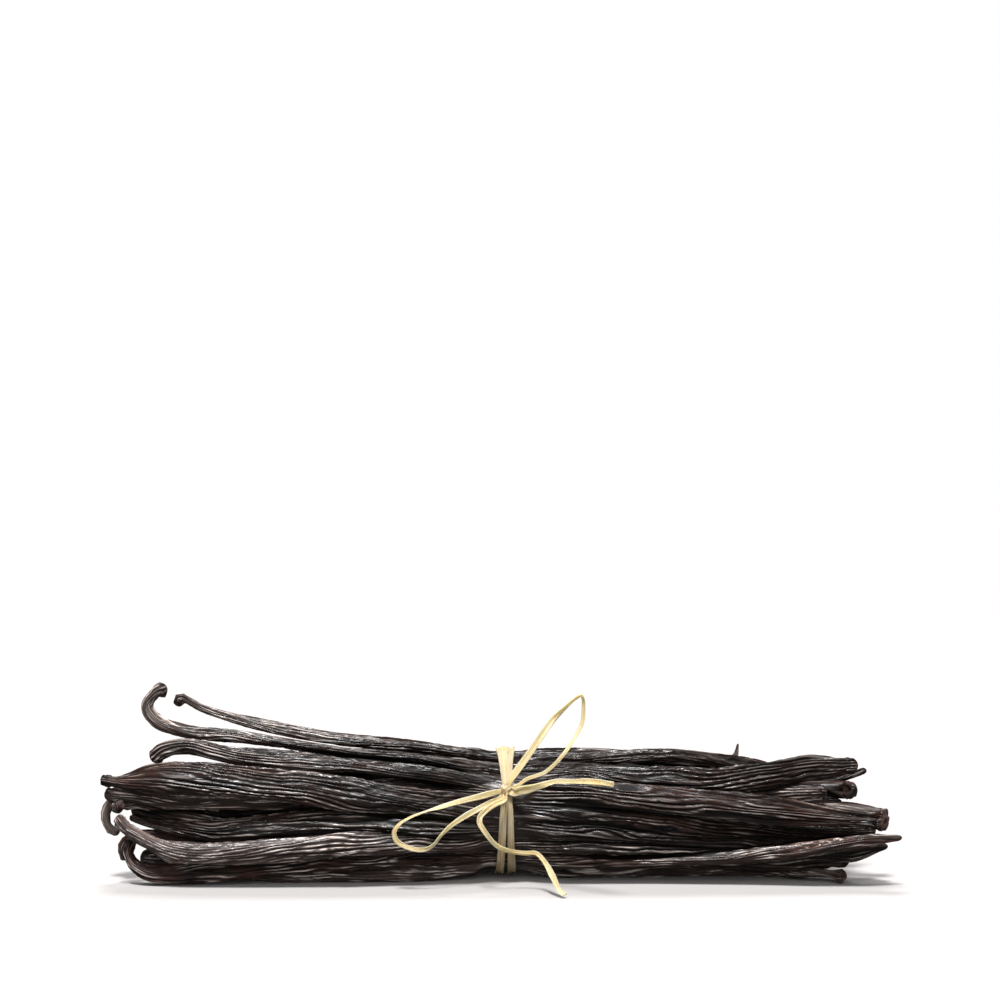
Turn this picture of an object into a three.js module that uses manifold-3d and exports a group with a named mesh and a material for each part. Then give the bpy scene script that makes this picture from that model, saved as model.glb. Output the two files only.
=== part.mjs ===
// A bundle of cured vanilla pods, lying on a table and tied round the middle with raffia.
// Millimetres. +X runs along the bundle, +Y to its back and +Z up, with the table at z = 0.
import * as THREE from "three";
import { mergeVertices } from "three/addons/utils/BufferGeometryUtils.js";
import Module from "manifold-3d";

const wasm = await Module();
wasm.setup();

// ---------------------------------------------------------------- driving dimensions

// Puts the middle of the bundle's outer box over the origin.
const CENTRING = new THREE.Vector3(0.5, 0.85, 0);

// The tie: where it goes round the bundle, and the outline that it pulls the pods into, an
// ellipse whose lower half is fuller where the bundle sags on the table.
const TIE_X = 1.4;
const TIE_HALF_DEPTH = 17;
const TIE_HALF_HEIGHT = 13.9;
const TIE_CENTRE_Z = 15.2;
const SAG_DEPTH_POWER = 0.75;
const SAG_HEIGHT_POWER = 0.85;

// Raffia: flat straw, wound twice round the bundle.
const RAFFIA_THICK = 0.45;
const RAFFIA_GAP = 0.35;
const TURN_WIDTH = 2.3;
const TURN_SPREAD = 1.4;
const TURN_SPREAD_AT_KNOT = 0.35;
const KNOT_GATHER = 0.4;
const TURN_SEGMENTS = 44;
const KNOT = new THREE.Vector3(1.5, -16.3, 22.1);
const KNOT_RADII = new THREE.Vector3(1.4, 1.5, 1.6);
const STRAND_WIDTH = 1.4;
const STRAND_THICK = 0.6;
const STRAND_STEP = 3;

// Pods: how finely a pod is faceted, how much the tie squeezes it, and how each kind of
// end narrows: the radius of its neck, how long the neck is bare, how far the body takes to
// fill out behind it, how much a knob stands out, and how far the very end is rounded.
const POD_SIDES = 7;
const HIDDEN_POD_SIDES = 6;
const STEPS_PER_POINT = 2;
const SAMPLES_PER_STEP = 10;
const TIE_SQUEEZE = 0.12;
const SQUEEZE_REACH = 9;
const PRESSED_DEPTH = 0.3;
const ENDS = {
  stalk: { neck: 1.5, flare: 26, knob: 0.7, reach: 1.6, bare: 0 },
  blunt: { neck: 1.9, flare: 13, knob: 0, reach: 1.5, bare: 0 },
  paddle: { neck: 1.8, flare: 34, knob: 0, reach: 3, bare: 0 },
  tip: { neck: 0.8, flare: 36, knob: 0, reach: 1.2, bare: 0 },
  slender: { neck: 1.5, flare: 42, knob: 0, reach: 1.5, bare: 0 },
  nib: { neck: 0.7, flare: 9, knob: 0, reach: 1.2, bare: 0 },
  spike: { neck: 0.3, flare: 8, knob: 0, reach: 0.5, bare: 0 },
  swan: { neck: 1.25, flare: 16, knob: 0.4, reach: 1.6, bare: 0 },
  stump: { neck: 2, flare: 12, knob: 0.35, reach: 1.6, bare: 0 },
  knob: { neck: 0.8, flare: 13, knob: 0.8, reach: 1.5, bare: 0.3 },
  long_neck: { neck: 0.9, flare: 9, knob: 0.75, reach: 1.5, bare: 4.5 },
  curl: { neck: 1.1, flare: 22, knob: 0.45, reach: 1.2, bare: 0 },
  slim_knob: { neck: 0.8, flare: 32, knob: 0.6, reach: 1.5, bare: 0.3 },
  strap: { neck: 1, flare: 34, knob: 0, reach: 1.2, bare: 0 },
};
const KNOB_FROM_END = 1.2;
const KNOB_SPREAD = 1.4;

// The pods that fill the back and the inside lie by a rule: their size, how far they
// reach and fan out, how unevenly, how high their ends may lie, and how far the table
// flattens those on it.
const RULE_SIZE = [6.3, 4.2];
const RULE_SIZE_SPREAD = [0.7, 0.4];
const ROLL_SPREAD = 25;
const REACH_LEFT = 80;
const REACH_RIGHT = 76;
const REACH_SPREAD = 7;
const HIGHEST_END = 20.5;
const TABLE_PRESS = 0.4;
const BACK_ANGLES = [114, 134, 155, 175, 194, 212, 231, 250, 270];
const INNER_ANGLES = [75, 125, 165, 205, 250, 300];
const INNER_RING = 0.5;
const RING_INSET = 2.3;
const FAN_OUT = 1.25;
const HALF_FAN = 1.13;
const FAN_SAG = 9;
const FAN_AT_LEFT = -46;
const FAN_AT_RIGHT = 48;
const BODY_SPREAD = 1;
const END_SPREAD = 2.5;
const HOOK_RUN = 6;
const HOOK_SPREAD = [1.5, 3, 4];
const SEED = 20;

// A pod: its full width and thickness, the roll of its wide side at each end in degrees
// (0 lies flat, 90 stands on edge), its two ends, and its middle line from left to right.
const PLACED_PODS = [
  {
    size: [6.0, 2.7],
    roll: [0, 10],
    ends: ["slim_knob", "tip"],
    route: [
      [-77, 3, 39.2], [-76.6, 3, 41.2], [-70.7, 3, 38.6], [-59.8, 2, 35.6], [-45.3, 1, 32.6],
      [-23.8, 0, 30.2], [TIE_X, -2, 27.5], [23.8, -1, 27.2], [42.7, -2, 27.9], [59.5, 0, 25.6],
      [70, 2, 22.6], [79, 3, 21.4], [87.8, 3, 24],
    ],
  },
  {
    size: [5.8, 2.7],
    roll: [0, 30],
    ends: ["swan", "blunt"],
    route: [
      [-78.7, -4, 44.6], [-81.3, -5, 43.2], [-83, -6, 40.2], [-80.5, -7, 36.8], [-74, -7, 34.5],
      [-61, -7, 33.1], [-39.8, -8, 30], [-18.7, -8.5, 28], [TIE_X, -8, 25.3], [21.1, -6, 25.2],
      [44.9, 0, 22.6], [61.9, 2, 20.6], [74, 1.5, 19.6], [85.3, 1, 19.4],
    ],
  },
  {
    size: [6.8, 2.8],
    roll: [0, 85],
    ends: ["paddle", "blunt"],
    route: [
      [-81.2, -11, 28.2], [-77.8, -12, 30.7], [-72.7, -12, 31.5], [-61.6, -12, 29.4],
      [-41.8, -12.5, 28], [-18.6, -12.8, 25.6], [TIE_X, -11.7, 22.8], [20.9, -13, 24],
      [41.7, -14, 23.5], [53.2, -14, 23.8], [62.2, -13, 24.6], [72.2, -11, 26.3],
      [83.5, -10, 26.9],
    ],
  },
  {
    size: [6.4, 4.2],
    roll: [60, 70],
    ends: ["slender", "stalk"],
    route: [
      [-92.2, -10, 20.2], [-88, -11, 19.9], [-80, -11, 18.9], [-68, -10.5, 18.7],
      [-56.1, -10.5, 19.2], [-35, -11, 20.4], [-16.2, -12.5, 20.8], [TIE_X, -13.8, 20.3],
      [16.1, -16, 20.8], [34.5, -17, 20], [55.2, -17, 18.1], [69, -17, 16.5], [79, -17, 15.6],
      [85.8, -17.7, 15.2], [88.5, -20, 15.1],
    ],
  },
  {
    size: [7.4, 4.2],
    roll: [90, 60],
    ends: ["knob", "slender"],
    route: [
      [-92.7, -12, 23.9], [-90, -13, 23.5], [-85.6, -14, 23.4], [-76.1, -16, 24.6],
      [-62.1, -17, 24.2], [-43.6, -18, 22.6], [-25.2, -18, 20], [TIE_X, -14.9, 16.9],
      [16.1, -16, 17], [34.6, -16, 15.8], [55.7, -13, 13.1], [72, -12, 11.8], [87.2, -13, 12.4],
    ],
  },
  {
    size: [6.4, 4.4],
    roll: [70, 60],
    ends: ["tip", "blunt"],
    route: [
      [-86.5, -9, 14.6], [-82.7, -11, 13.7], [-74.2, -13, 12.6], [-60, -15, 12.1],
      [-46.1, -16, 13.6], [-35.6, -17, 14.7], [-16.1, -17, 14], [TIE_X, -14.7, 13.3],
      [16.1, -16, 13.4], [34.6, -15, 12.4], [55.7, -13, 10.3], [69.7, -12, 9.2], [81, -10, 9.6],
    ],
  },
  {
    size: [6.6, 4.4],
    roll: [40, 60],
    ends: ["slender", "nib"],
    route: [
      [-88.1, -17, 16], [-86, -18, 13.6], [-82.4, -19, 11.5], [-78.2, -19.5, 9.6], [-74, -20, 8.6],
      [-64, -20, 7.8], [-48, -20, 8.9], [-32.1, -19, 10.6], [-16.1, -17, 10.6],
      [TIE_X, -13.2, 9.8], [16.2, -15, 9.8], [34.7, -14, 9], [55.7, -13, 7.6], [74.2, -13, 7.3],
      [89.8, -14, 8.6],
    ],
  },
  {
    size: [5.6, 2.7],
    roll: [65, 0],
    ends: ["curl", "nib"],
    route: [
      [-84.9, -14, 10.3], [-85.8, -15, 7.9], [-84.6, -16, 5], [-80.5, -17, 2.9],
      [-71.4, -16.5, 3.2], [-60, -16, 4.3], [-43.9, -16, 5.6], [-23.1, -15, 6.2],
      [TIE_X, -10.6, 6.5], [16.2, -13, 5.4], [34.7, -14.5, 5.6], [55.3, -16, 6.6],
      [71.2, -18, 8.6], [84.7, -19, 10.8], [92.1, -19, 11.4],
    ],
  },
  {
    size: [7.4, 4.8],
    roll: [0, 0],
    ends: ["tip", "long_neck"],
    route: [
      [-82, -9, 7.4], [-76, -10, 4.4], [-64.3, -10, 2.6], [-46.5, -11.5, 2.1], [-27.9, -11.5, 2.1],
      [-11.6, -9, 2.8], [TIE_X, -6.6, 3.9], [16.4, -5, 2.6], [37.5, -3.5, 2.1], [56, -3.5, 2.1],
      [67, -7.5, 2.2], [73, -12, 2.3], [80, -15.5, 1.6],
    ],
  },
  // Inside the bundle, with ends that look out.
  {
    size: [6.2, 4.2],
    roll: [60, 90],
    ends: ["long_neck", "blunt"],
    route: [
      [-88, -15, 16.3], [-88.7, -14, 18.7], [-87.2, -12, 17.6], [-84.5, -11, 18.4],
      [-80, -9, 18.2], [-74, -7, 16.9], [-56.2, -7, 17.2], [-28.1, -8, 18.5], [TIE_X, -7.5, 19.6],
      [23.5, -8, 20.4], [46.9, -9, 20.5], [60.5, -11, 20.7], [76, -12, 20.6],
    ],
  },
  {
    size: [6.0, 4.0],
    roll: [30, 40],
    ends: ["strap", "blunt"],
    route: [
      [-89.1, -9, 10.6], [-91.7, -9, 12.5], [-92.1, -9, 15.8], [-90.5, -8, 18.1],
      [-84.5, -6, 18], [-66.1, -4, 16.6], [TIE_X, -3, 17], [47.2, -4, 17.6], [66, -5, 17.3],
      [80.5, -6, 17.2],
    ],
  },
  {
    size: [6.4, 4.2],
    roll: [40, 20],
    ends: ["strap", "blunt"],
    route: [
      [-87.2, -9, 4.6], [-88.3, -9, 6.6], [-87.6, -9, 8.8], [-84.5, -9, 10.2], [-78.3, -9, 9.9],
      [-60.9, -8, 8], [TIE_X, -6, 8.8], [23.4, -8, 8], [46.8, -9, 5.7], [65.3, -10, 4.7],
      [81.5, -11, 5.6],
    ],
  },
  {
    size: [6.6, 4.4],
    roll: [50, 50],
    ends: ["blunt", "stump"],
    route: [
      [-86.3, -8.5, 16.8], [-80, -8.5, 15.2], [-72, -9, 13.2], [-60.3, -10, 11.4],
      [-39.7, -9, 11.5], [TIE_X, -8, 14], [23.5, -8, 15.3], [47, -8, 15], [70.3, -9, 14.8],
      [84.2, -9, 14.8], [90.8, -10, 14.2],
    ],
  },
  {
    size: [6.2, 4.0],
    roll: [0, 0],
    ends: ["blunt", "tip"],
    route: [
      [-84.5, -7, 4.6], [-76, -6, 4.3], [-60, -4, 2.8], [-30, -3, 2.2], [TIE_X, 0.5, 3.8],
      [23.7, 2.5, 2.2], [47.3, 3.5, 2], [63.8, 2, 2], [73.5, -1, 1.9],
    ],
  },
  // At the back of the top, ending in a point that is bent up.
  {
    size: [6.0, 3.8],
    roll: [0, 10],
    ends: ["blunt", "spike"],
    route: [
      [-76, 8, 19.5], [-58, 7.5, 24], [-30, 6.5, 26.4], [TIE_X, 4.3, 26.8], [30, 6, 26.2],
      [48, 6.5, 24.8], [54, 7.2, 25], [56.7, 7.8, 26.6], [57.6, 8, 29.8],
    ],
  },
];

// The free strands of the bow, from the knot outwards; the loops end at the knot again.
const STRAND_ROUTES = {
  raffia_loop_left: [
    [-0.4, -17.4, 21.7], [-2.4, -19, 21.4], [-4.7, -20.4, 20.9], [-9.1, -21.9, 20],
    [-13.6, -22.6, 18.8], [-17, -23.2, 17.8], [-20.4, -24, 16.6], [-22.6, -24.4, 15.3],
    [-23.8, -24.6, 13.5], [-23.3, -24.6, 11.6], [-21.5, -24.4, 10.3], [-19.3, -24.2, 9.6],
    [-17, -24, 9.6], [-15.2, -23.8, 10.5], [-13.6, -23.5, 12.5], [-11.3, -23, 14.6],
    [-8, -22.2, 16.7], [-4.6, -20.8, 18.3], [-2, -19.4, 19.5], [0, -17.6, 20.1],
  ],
  raffia_loop_right: [
    [2.4, -17, 24.2], [4, -16.6, 26.4], [6.6, -15.6, 29.9], [8.8, -14.4, 33],
    [10.7, -13, 35.6], [12.7, -11.4, 38.1], [14.8, -9.8, 40], [17.2, -8.2, 41.9],
    [19, -7.3, 42.9], [19.6, -7.1, 42.1], [19.7, -7.4, 39.6], [19.4, -8, 36.8], [18, -9.4, 33.8],
    [16.4, -11, 31.6], [14.8, -12.8, 29.8], [12.6, -14.8, 27.7], [10.2, -16.2, 25.9],
    [8.4, -17, 25.3], [6.2, -17.4, 24.6], [4.2, -17.4, 23.2],
  ],
  raffia_tail_right: [
    [3.3, -17.6, 21.7], [4.6, -19, 22.3], [6, -20.5, 22.8], [7.4, -21.9, 23.3], [8.8, -23.3, 23.8],
    [10.2, -24.6, 24.3], [11.7, -26, 24.8], [13.2, -27.3, 25.2], [14.7, -28.6, 25.4],
    [16.2, -30.1, 25.6], [17.6, -31.5, 25.8], [19.1, -32.8, 26], [20.6, -34.2, 26.1],
    [22.1, -35.6, 26.2], [23.6, -37, 26.2], [25.1, -38.4, 26.2],
  ],
  raffia_tail_front: [
    [1.1, -18.6, 20], [-1.2, -20.5, 19.2], [-3.3, -22.3, 18], [-4.5, -23.6, 16.9],
    [-4.6, -24.4, 15.6], [-3.8, -24.9, 14.2], [-2.3, -25, 12.2], [-1.1, -24.6, 10.8],
    [0.2, -24, 9.8], [2.3, -23.4, 9], [5.7, -23.2, 8.5], [8.2, -24, 8.6], [10.1, -26, 7],
    [11.7, -29, 4.4], [13.2, -31, 1.5], [14.4, -32.4, 0.7],
  ],
};

// The dark core that the pods lie round: [x, middle y, middle z, half depth, half height].
const CORE = [
  [-83, -4, 16.6, 0.5, 0.4],
  [-79, -4, 16.4, 2, 1.6],
  [-72, -3.5, 15.2, 3.6, 3],
  [-60, -3, 13.4, 10, 7],
  [-30, -1.5, 14, 13, 10],
  [TIE_X, 0, TIE_CENTRE_Z, 13.5, 11],
  [30, -1, 14.5, 13.5, 10.5],
  [56, -1, 13, 11, 8],
  [70, -1, 13, 3, 2],
];
const CORE_SIDES = 12;
const CORE_STEPS = 18;

const TABLE_BLOCK = new THREE.Vector3(300, 200, 20);

const POD_MATERIAL = new THREE.MeshStandardMaterial({
  color: 0x2a1c17, roughness: 0.45, metalness: 0,
});
const RAFFIA_MATERIAL = new THREE.MeshStandardMaterial({
  color: 0xe6d5a2, roughness: 0.7, metalness: 0,
});

// ---------------------------------------------------------------- helpers

let drawn = SEED;

// The next random number from 0 to 1, from a linear congruential generator.
function random() {
  drawn = (drawn * 1664525 + 1013904223) % 4294967296;
  return drawn / 4294967296;
}

function uneven(amount) {
  return (2 * random() - 1) * amount;
}

function smoothstep(value) {
  const x = THREE.MathUtils.clamp(value, 0, 1);
  return x * x * (3 - 2 * x);
}

// A closed geometry as a solid. Corners closer than a micrometre become one.
function solidOf(geometry) {
  geometry.deleteAttribute("normal");
  geometry.deleteAttribute("uv");
  const merged = mergeVertices(geometry, 1e-3);
  return new wasm.Manifold(new wasm.Mesh({
    numProp: 3,
    vertProperties: merged.attributes.position.array,
    triVerts: new Uint32Array(merged.index.array),
  }));
}

function surfaceOf(solid) {
  const mesh = solid.getMesh();
  const geometry = new THREE.BufferGeometry();
  geometry.setAttribute("position", new THREE.BufferAttribute(mesh.vertProperties, mesh.numProp));
  geometry.setIndex(new THREE.BufferAttribute(mesh.triVerts, 1));
  return geometry;
}

// The surface of a joined or cut solid. Its largest body is kept, so that no sealed hollow
// or loose scrap stays, also of those that merging its corners pinches off.
function cleanSurface(solid) {
  const largest = (bodies) => bodies.reduce((a, b) => (b.volume() > a.volume() ? b : a));
  const merged = solidOf(surfaceOf(largest(solid.decompose())));
  return surfaceOf(largest(merged.decompose()));
}

function pathThrough(points) {
  return new THREE.CatmullRomCurve3(points.map((p) => new THREE.Vector3(...p)));
}

// Bends a closed unit cylinder along a path. section(t) gives the half width, the half
// thickness and the roll of the ring at t, which counts the path's points and not its
// length, so that the rings are closest where the path bends most.
function bentCylinder(path, sides, steps, section) {
  const geometry = new THREE.CylinderGeometry(1, 1, 1, sides, steps);
  const position = geometry.attributes.position;
  const across = new THREE.Vector3();
  const over = new THREE.Vector3();
  for (let i = 0; i < position.count; i += 1) {
    const t = THREE.MathUtils.clamp(position.getY(i) + 0.5, 0, 1);
    const { halfWidth, halfThick, roll } = section(t);
    const along = path.getTangent(t);
    across.set(0, 1, 0).addScaledVector(along, -along.y).normalize();
    over.crossVectors(along, across);
    const wide = position.getZ(i) * halfWidth;
    const deep = position.getX(i) * halfThick;
    const point = path.getPoint(t);
    point.addScaledVector(across, wide * Math.cos(roll) - deep * Math.sin(roll));
    point.addScaledVector(over, wide * Math.sin(roll) + deep * Math.cos(roll));
    position.setXYZ(i, point.x, point.y, point.z);
  }
  return geometry;
}

// The tie's outline at a turn round the bundle, from 0 at the front by a quarter turn on
// top, as depth and height in shares of its half depth and half height.
function tieOutline(turn) {
  const power = (value, exponent) => Math.sign(value) * Math.abs(value) ** exponent;
  const sags = Math.sin(turn) < 0;
  return [
    -power(Math.cos(turn), sags ? SAG_DEPTH_POWER : 1),
    power(Math.sin(turn), sags ? SAG_HEIGHT_POWER : 1),
  ];
}

// ---------------------------------------------------------------- pods

// How full a pod is at a distance from an end, from 0 at its neck to 1 in its body, and
// the radius of its neck there: a stalk end keeps a small knob, and each end is rounded.
function endShape(style, distance) {
  const end = ENDS[style];
  const knob = end.knob * Math.exp(-(((distance - KNOB_FROM_END) / KNOB_SPREAD) ** 2));
  const rounding = Math.sqrt(THREE.MathUtils.clamp(0.3 + distance / end.reach, 0, 1));
  const full = smoothstep((distance - end.bare) / end.flare);
  return { full, neck: (end.neck + knob) * rounding };
}

function podSolid({ size, roll, ends, route, sides = POD_SIDES }) {
  const path = pathThrough(route);
  const steps = STEPS_PER_POINT * (route.length - 1);
  const lengths = path.getLengths(SAMPLES_PER_STEP * steps);
  const total = lengths[lengths.length - 1];
  const section = (t) => {
    const distance = lengths[Math.round(t * SAMPLES_PER_STEP * steps)];
    const left = endShape(ends[0], distance);
    const right = endShape(ends[1], total - distance);
    const fromTie = (path.getPoint(t).x - TIE_X) / SQUEEZE_REACH;
    const full = left.full * right.full * (1 - TIE_SQUEEZE * Math.exp(-(fromTie ** 2)));
    const neck = t < 0.5 ? left.neck : right.neck;
    return {
      halfWidth: THREE.MathUtils.lerp(neck, size[0] / 2, full),
      halfThick: THREE.MathUtils.lerp(neck, size[1] / 2, full),
      roll: THREE.MathUtils.degToRad(THREE.MathUtils.lerp(roll[0], roll[1], distance / total)),
    };
  };
  return solidOf(bentCylinder(path, sides, steps, section));
}

// A pod that lies by rule: it passes the tie at an angle on a ring, its wide side along the
// ring, and fans out to both ends, where it sags but lies no lower than the table.
function podByRule(angle, ring) {
  const [deep, high] = tieOutline(THREE.MathUtils.degToRad(angle));
  const tieY = (TIE_HALF_DEPTH - RING_INSET) * ring * deep;
  const tieZ = TIE_CENTRE_Z + (TIE_HALF_HEIGHT - RING_INSET) * ring * high;
  const size = RULE_SIZE.map((value, i) => value + uneven(RULE_SIZE_SPREAD[i]));
  const lowest = size[1] / 2 - TABLE_PRESS;
  const place = (x, fan, spread) => {
    const z = TIE_CENTRE_Z + (tieZ - TIE_CENTRE_Z) * fan - FAN_SAG * (fan - 1) + uneven(spread);
    const y = tieY * fan + uneven(spread);
    const highest = THREE.MathUtils.lerp(tieZ + 1, HIGHEST_END, Math.abs(x) / REACH_LEFT);
    return [x, y, THREE.MathUtils.clamp(z, lowest, Math.max(lowest, highest))];
  };
  // the last point of an end, bent off a little to a side and up or down
  const hook = (x, end) => [
    x + uneven(HOOK_SPREAD[0]),
    end[1] + uneven(HOOK_SPREAD[1]),
    THREE.MathUtils.clamp(end[2] + uneven(HOOK_SPREAD[2]), lowest, HIGHEST_END),
  ];
  const left = -REACH_LEFT + uneven(REACH_SPREAD);
  const right = REACH_RIGHT + uneven(REACH_SPREAD);
  const leftEnd = place(left + HOOK_RUN, FAN_OUT, END_SPREAD);
  const rightEnd = place(right - HOOK_RUN, FAN_OUT, END_SPREAD);
  const tip = hook(left, leftEnd);
  const butt = hook(right, rightEnd);
  return {
    size,
    sides: HIDDEN_POD_SIDES,
    roll: [90 - angle + uneven(ROLL_SPREAD), 90 - angle + uneven(ROLL_SPREAD)],
    ends: random() < 0.5 ? ["stalk", "tip"] : ["tip", "blunt"],
    route: [
      tip,
      leftEnd,
      place(FAN_AT_LEFT, HALF_FAN, BODY_SPREAD),
      [TIE_X, tieY, tieZ],
      place(FAN_AT_RIGHT, HALF_FAN, BODY_SPREAD),
      rightEnd,
      butt,
    ],
  };
}

function corePiece() {
  const path = pathThrough(CORE.map(([x, y, z]) => [x, y, z]));
  const section = (t) => {
    const at = t * (CORE.length - 1);
    const i = Math.min(Math.floor(at), CORE.length - 2);
    const mix = (column) => THREE.MathUtils.lerp(CORE[i][column], CORE[i + 1][column], at - i);
    return { halfWidth: mix(3), halfThick: mix(4), roll: 0 };
  };
  return solidOf(bentCylinder(path, CORE_SIDES, CORE_STEPS, section));
}

// ---------------------------------------------------------------- raffia

// One turn of raffia round the bundle, as a ring bent to the tie's outline. side is -1 for
// the left turn and 1 for the right one: the knot draws them together, and they lie apart
// everywhere else. grow thickens it on every side.
function turnSolid(side, grow) {
  const geometry = new THREE.TorusGeometry(2, 1, 4, TURN_SEGMENTS);
  const position = geometry.attributes.position;
  const half = TURN_WIDTH / 2 + grow;
  const inner = RAFFIA_GAP - grow;
  const outer = RAFFIA_GAP + RAFFIA_THICK + grow;
  const knotTurn = Math.asin((KNOT.z - TIE_CENTRE_Z) / TIE_HALF_HEIGHT);
  for (let i = 0; i < position.count; i += 1) {
    const turn = Math.atan2(position.getY(i), position.getX(i));
    const outward = Math.hypot(position.getX(i), position.getY(i)) - 2;
    const sideways = position.getZ(i);
    // the four corners of the straw's flat section
    const lift = outward + sideways > 0 ? outer : inner;
    const shift = outward - sideways > 0 ? half : -half;
    const gathered = Math.exp(-(((turn - knotTurn) / KNOT_GATHER) ** 2));
    const apart = THREE.MathUtils.lerp(TURN_SPREAD, TURN_SPREAD_AT_KNOT, gathered);
    const x = TIE_X + side * apart + shift;
    const [deep, high] = tieOutline(turn);
    const y = (TIE_HALF_DEPTH + lift) * deep;
    const z = TIE_CENTRE_Z + (TIE_HALF_HEIGHT + lift) * high;
    position.setXYZ(i, x, y, z);
  }
  return solidOf(geometry);
}

function knotSolid(grow) {
  const geometry = new THREE.SphereGeometry(1, 10, 7);
  geometry.scale(KNOT_RADII.x + grow, KNOT_RADII.y + grow, KNOT_RADII.z + grow);
  geometry.translate(KNOT.x, KNOT.y, KNOT.z);
  return solidOf(geometry);
}

// The two turns and the knot that holds them, as one piece.
function tieSolid(grow) {
  return wasm.Manifold.union([
    turnSolid(-1, grow),
    turnSolid(1, grow),
    knotSolid(grow),
  ]);
}

// A free strand: an eight-sided flat section drawn along its route.
function strandGeometry(points) {
  const path = pathThrough(points);
  const section = new THREE.Shape();
  section.absellipse(0, 0, STRAND_THICK / 2, STRAND_WIDTH / 2, 0, 2 * Math.PI);
  const outline = new THREE.Shape(section.getPoints(2).slice(0, 8));
  return new THREE.ExtrudeGeometry(outline, {
    steps: Math.round(path.getLength() / STRAND_STEP),
    bevelEnabled: false,
    extrudePath: path,
  });
}

// ---------------------------------------------------------------- the bundle

const bundle = new THREE.Group();
bundle.position.copy(CENTRING);

function addMesh(name, geometry, material) {
  const mesh = new THREE.Mesh(geometry, material);
  mesh.name = name;
  bundle.add(mesh);
}

const table = new THREE.BoxGeometry(TABLE_BLOCK.x, TABLE_BLOCK.y, TABLE_BLOCK.z);
table.translate(0, 0, -TABLE_BLOCK.z / 2);

const pods = [
  ...PLACED_PODS,
  ...BACK_ANGLES.map((angle) => podByRule(angle, 1)),
  ...INNER_ANGLES.map((angle) => podByRule(angle, INNER_RING)),
];
const heap = wasm.Manifold.union([corePiece(), ...pods.map(podSolid)])
  .subtract(tieSolid(PRESSED_DEPTH))
  .subtract(solidOf(table));

addMesh("vanilla_pods", cleanSurface(heap), POD_MATERIAL);
addMesh("raffia_tie", cleanSurface(tieSolid(0)), RAFFIA_MATERIAL);
for (const [name, points] of Object.entries(STRAND_ROUTES)) {
  addMesh(name, strandGeometry(points), RAFFIA_MATERIAL);
}

export default bundle;
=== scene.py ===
"""A bundle of cured vanilla pods, tied round the middle with a raffia bow, on a pale floor.

Lengths are millimetres until a mesh is made, unless a name ends in _m. +X runs along the
bundle, +Y to its back and +Z up, with the floor at z = 0.
"""

import bpy
import numpy as np
from bpy.props import FloatProperty, FloatVectorProperty, PointerProperty
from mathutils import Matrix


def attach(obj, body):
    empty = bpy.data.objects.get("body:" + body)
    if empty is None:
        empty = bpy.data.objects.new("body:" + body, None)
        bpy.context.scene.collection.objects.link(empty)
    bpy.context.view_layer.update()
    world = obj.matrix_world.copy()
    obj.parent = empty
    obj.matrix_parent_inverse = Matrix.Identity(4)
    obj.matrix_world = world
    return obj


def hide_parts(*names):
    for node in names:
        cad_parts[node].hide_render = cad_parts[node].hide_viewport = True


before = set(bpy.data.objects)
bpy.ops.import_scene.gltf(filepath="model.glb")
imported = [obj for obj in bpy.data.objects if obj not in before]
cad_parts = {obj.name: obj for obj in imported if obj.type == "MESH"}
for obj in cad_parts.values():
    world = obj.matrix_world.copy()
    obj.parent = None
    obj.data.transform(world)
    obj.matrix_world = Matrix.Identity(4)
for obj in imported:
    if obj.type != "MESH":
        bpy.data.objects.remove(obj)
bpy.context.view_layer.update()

bl_info = {
    "name": "Vanilla pod bundle",
    "version": (1, 0, 0),
    "blender": (4, 5, 0),
    "location": "View3D > Sidebar > Vanilla",
    "description": "Builds a bundle of cured vanilla pods tied with a raffia bow",
    "category": "Add Mesh",
}

# ---------------------------------------------------------------- sizes, in millimetres

MM = 0.001
BODY = "root"
POD_NODE = "vanilla_pods"
TIE_NODE = "raffia_tie"

# Puts the middle of the bundle's outer box over the origin.
CENTRING = np.array([0.5, 0.85, 0.0])

# The tie: where it goes round the bundle, the outline that it pulls the pods into, how much
# fuller that is below, how far it squeezes the pods, and where its knot is.
TIE_X = 1.4
TIE_HALF_DEPTH = 17.0
TIE_HALF_HEIGHT = 13.9
TIE_CENTRE_Z = 15.2
SAG_DEPTH_POWER = 0.75
SAG_HEIGHT_POWER = 0.85
TIE_SQUEEZE = 0.12
SQUEEZE_REACH = 9.0
KNOT = np.array([1.5, -16.3, 22.1])

# What stands out of that outline is drawn in: to a share of it within a distance of the
# tie's middle, and less and less over the fade beyond that.
PULL_SHARE = 0.985
PULL_HALF_WIDTH = 3.2
PULL_FADE = 12.0
SAGGED_SHARE_POWER = 0.4

# How far off the floor the skin and the straw stay.
POD_FLOOR_GAP = 0.02
STRAW_FLOOR_GAP = 0.05

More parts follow.
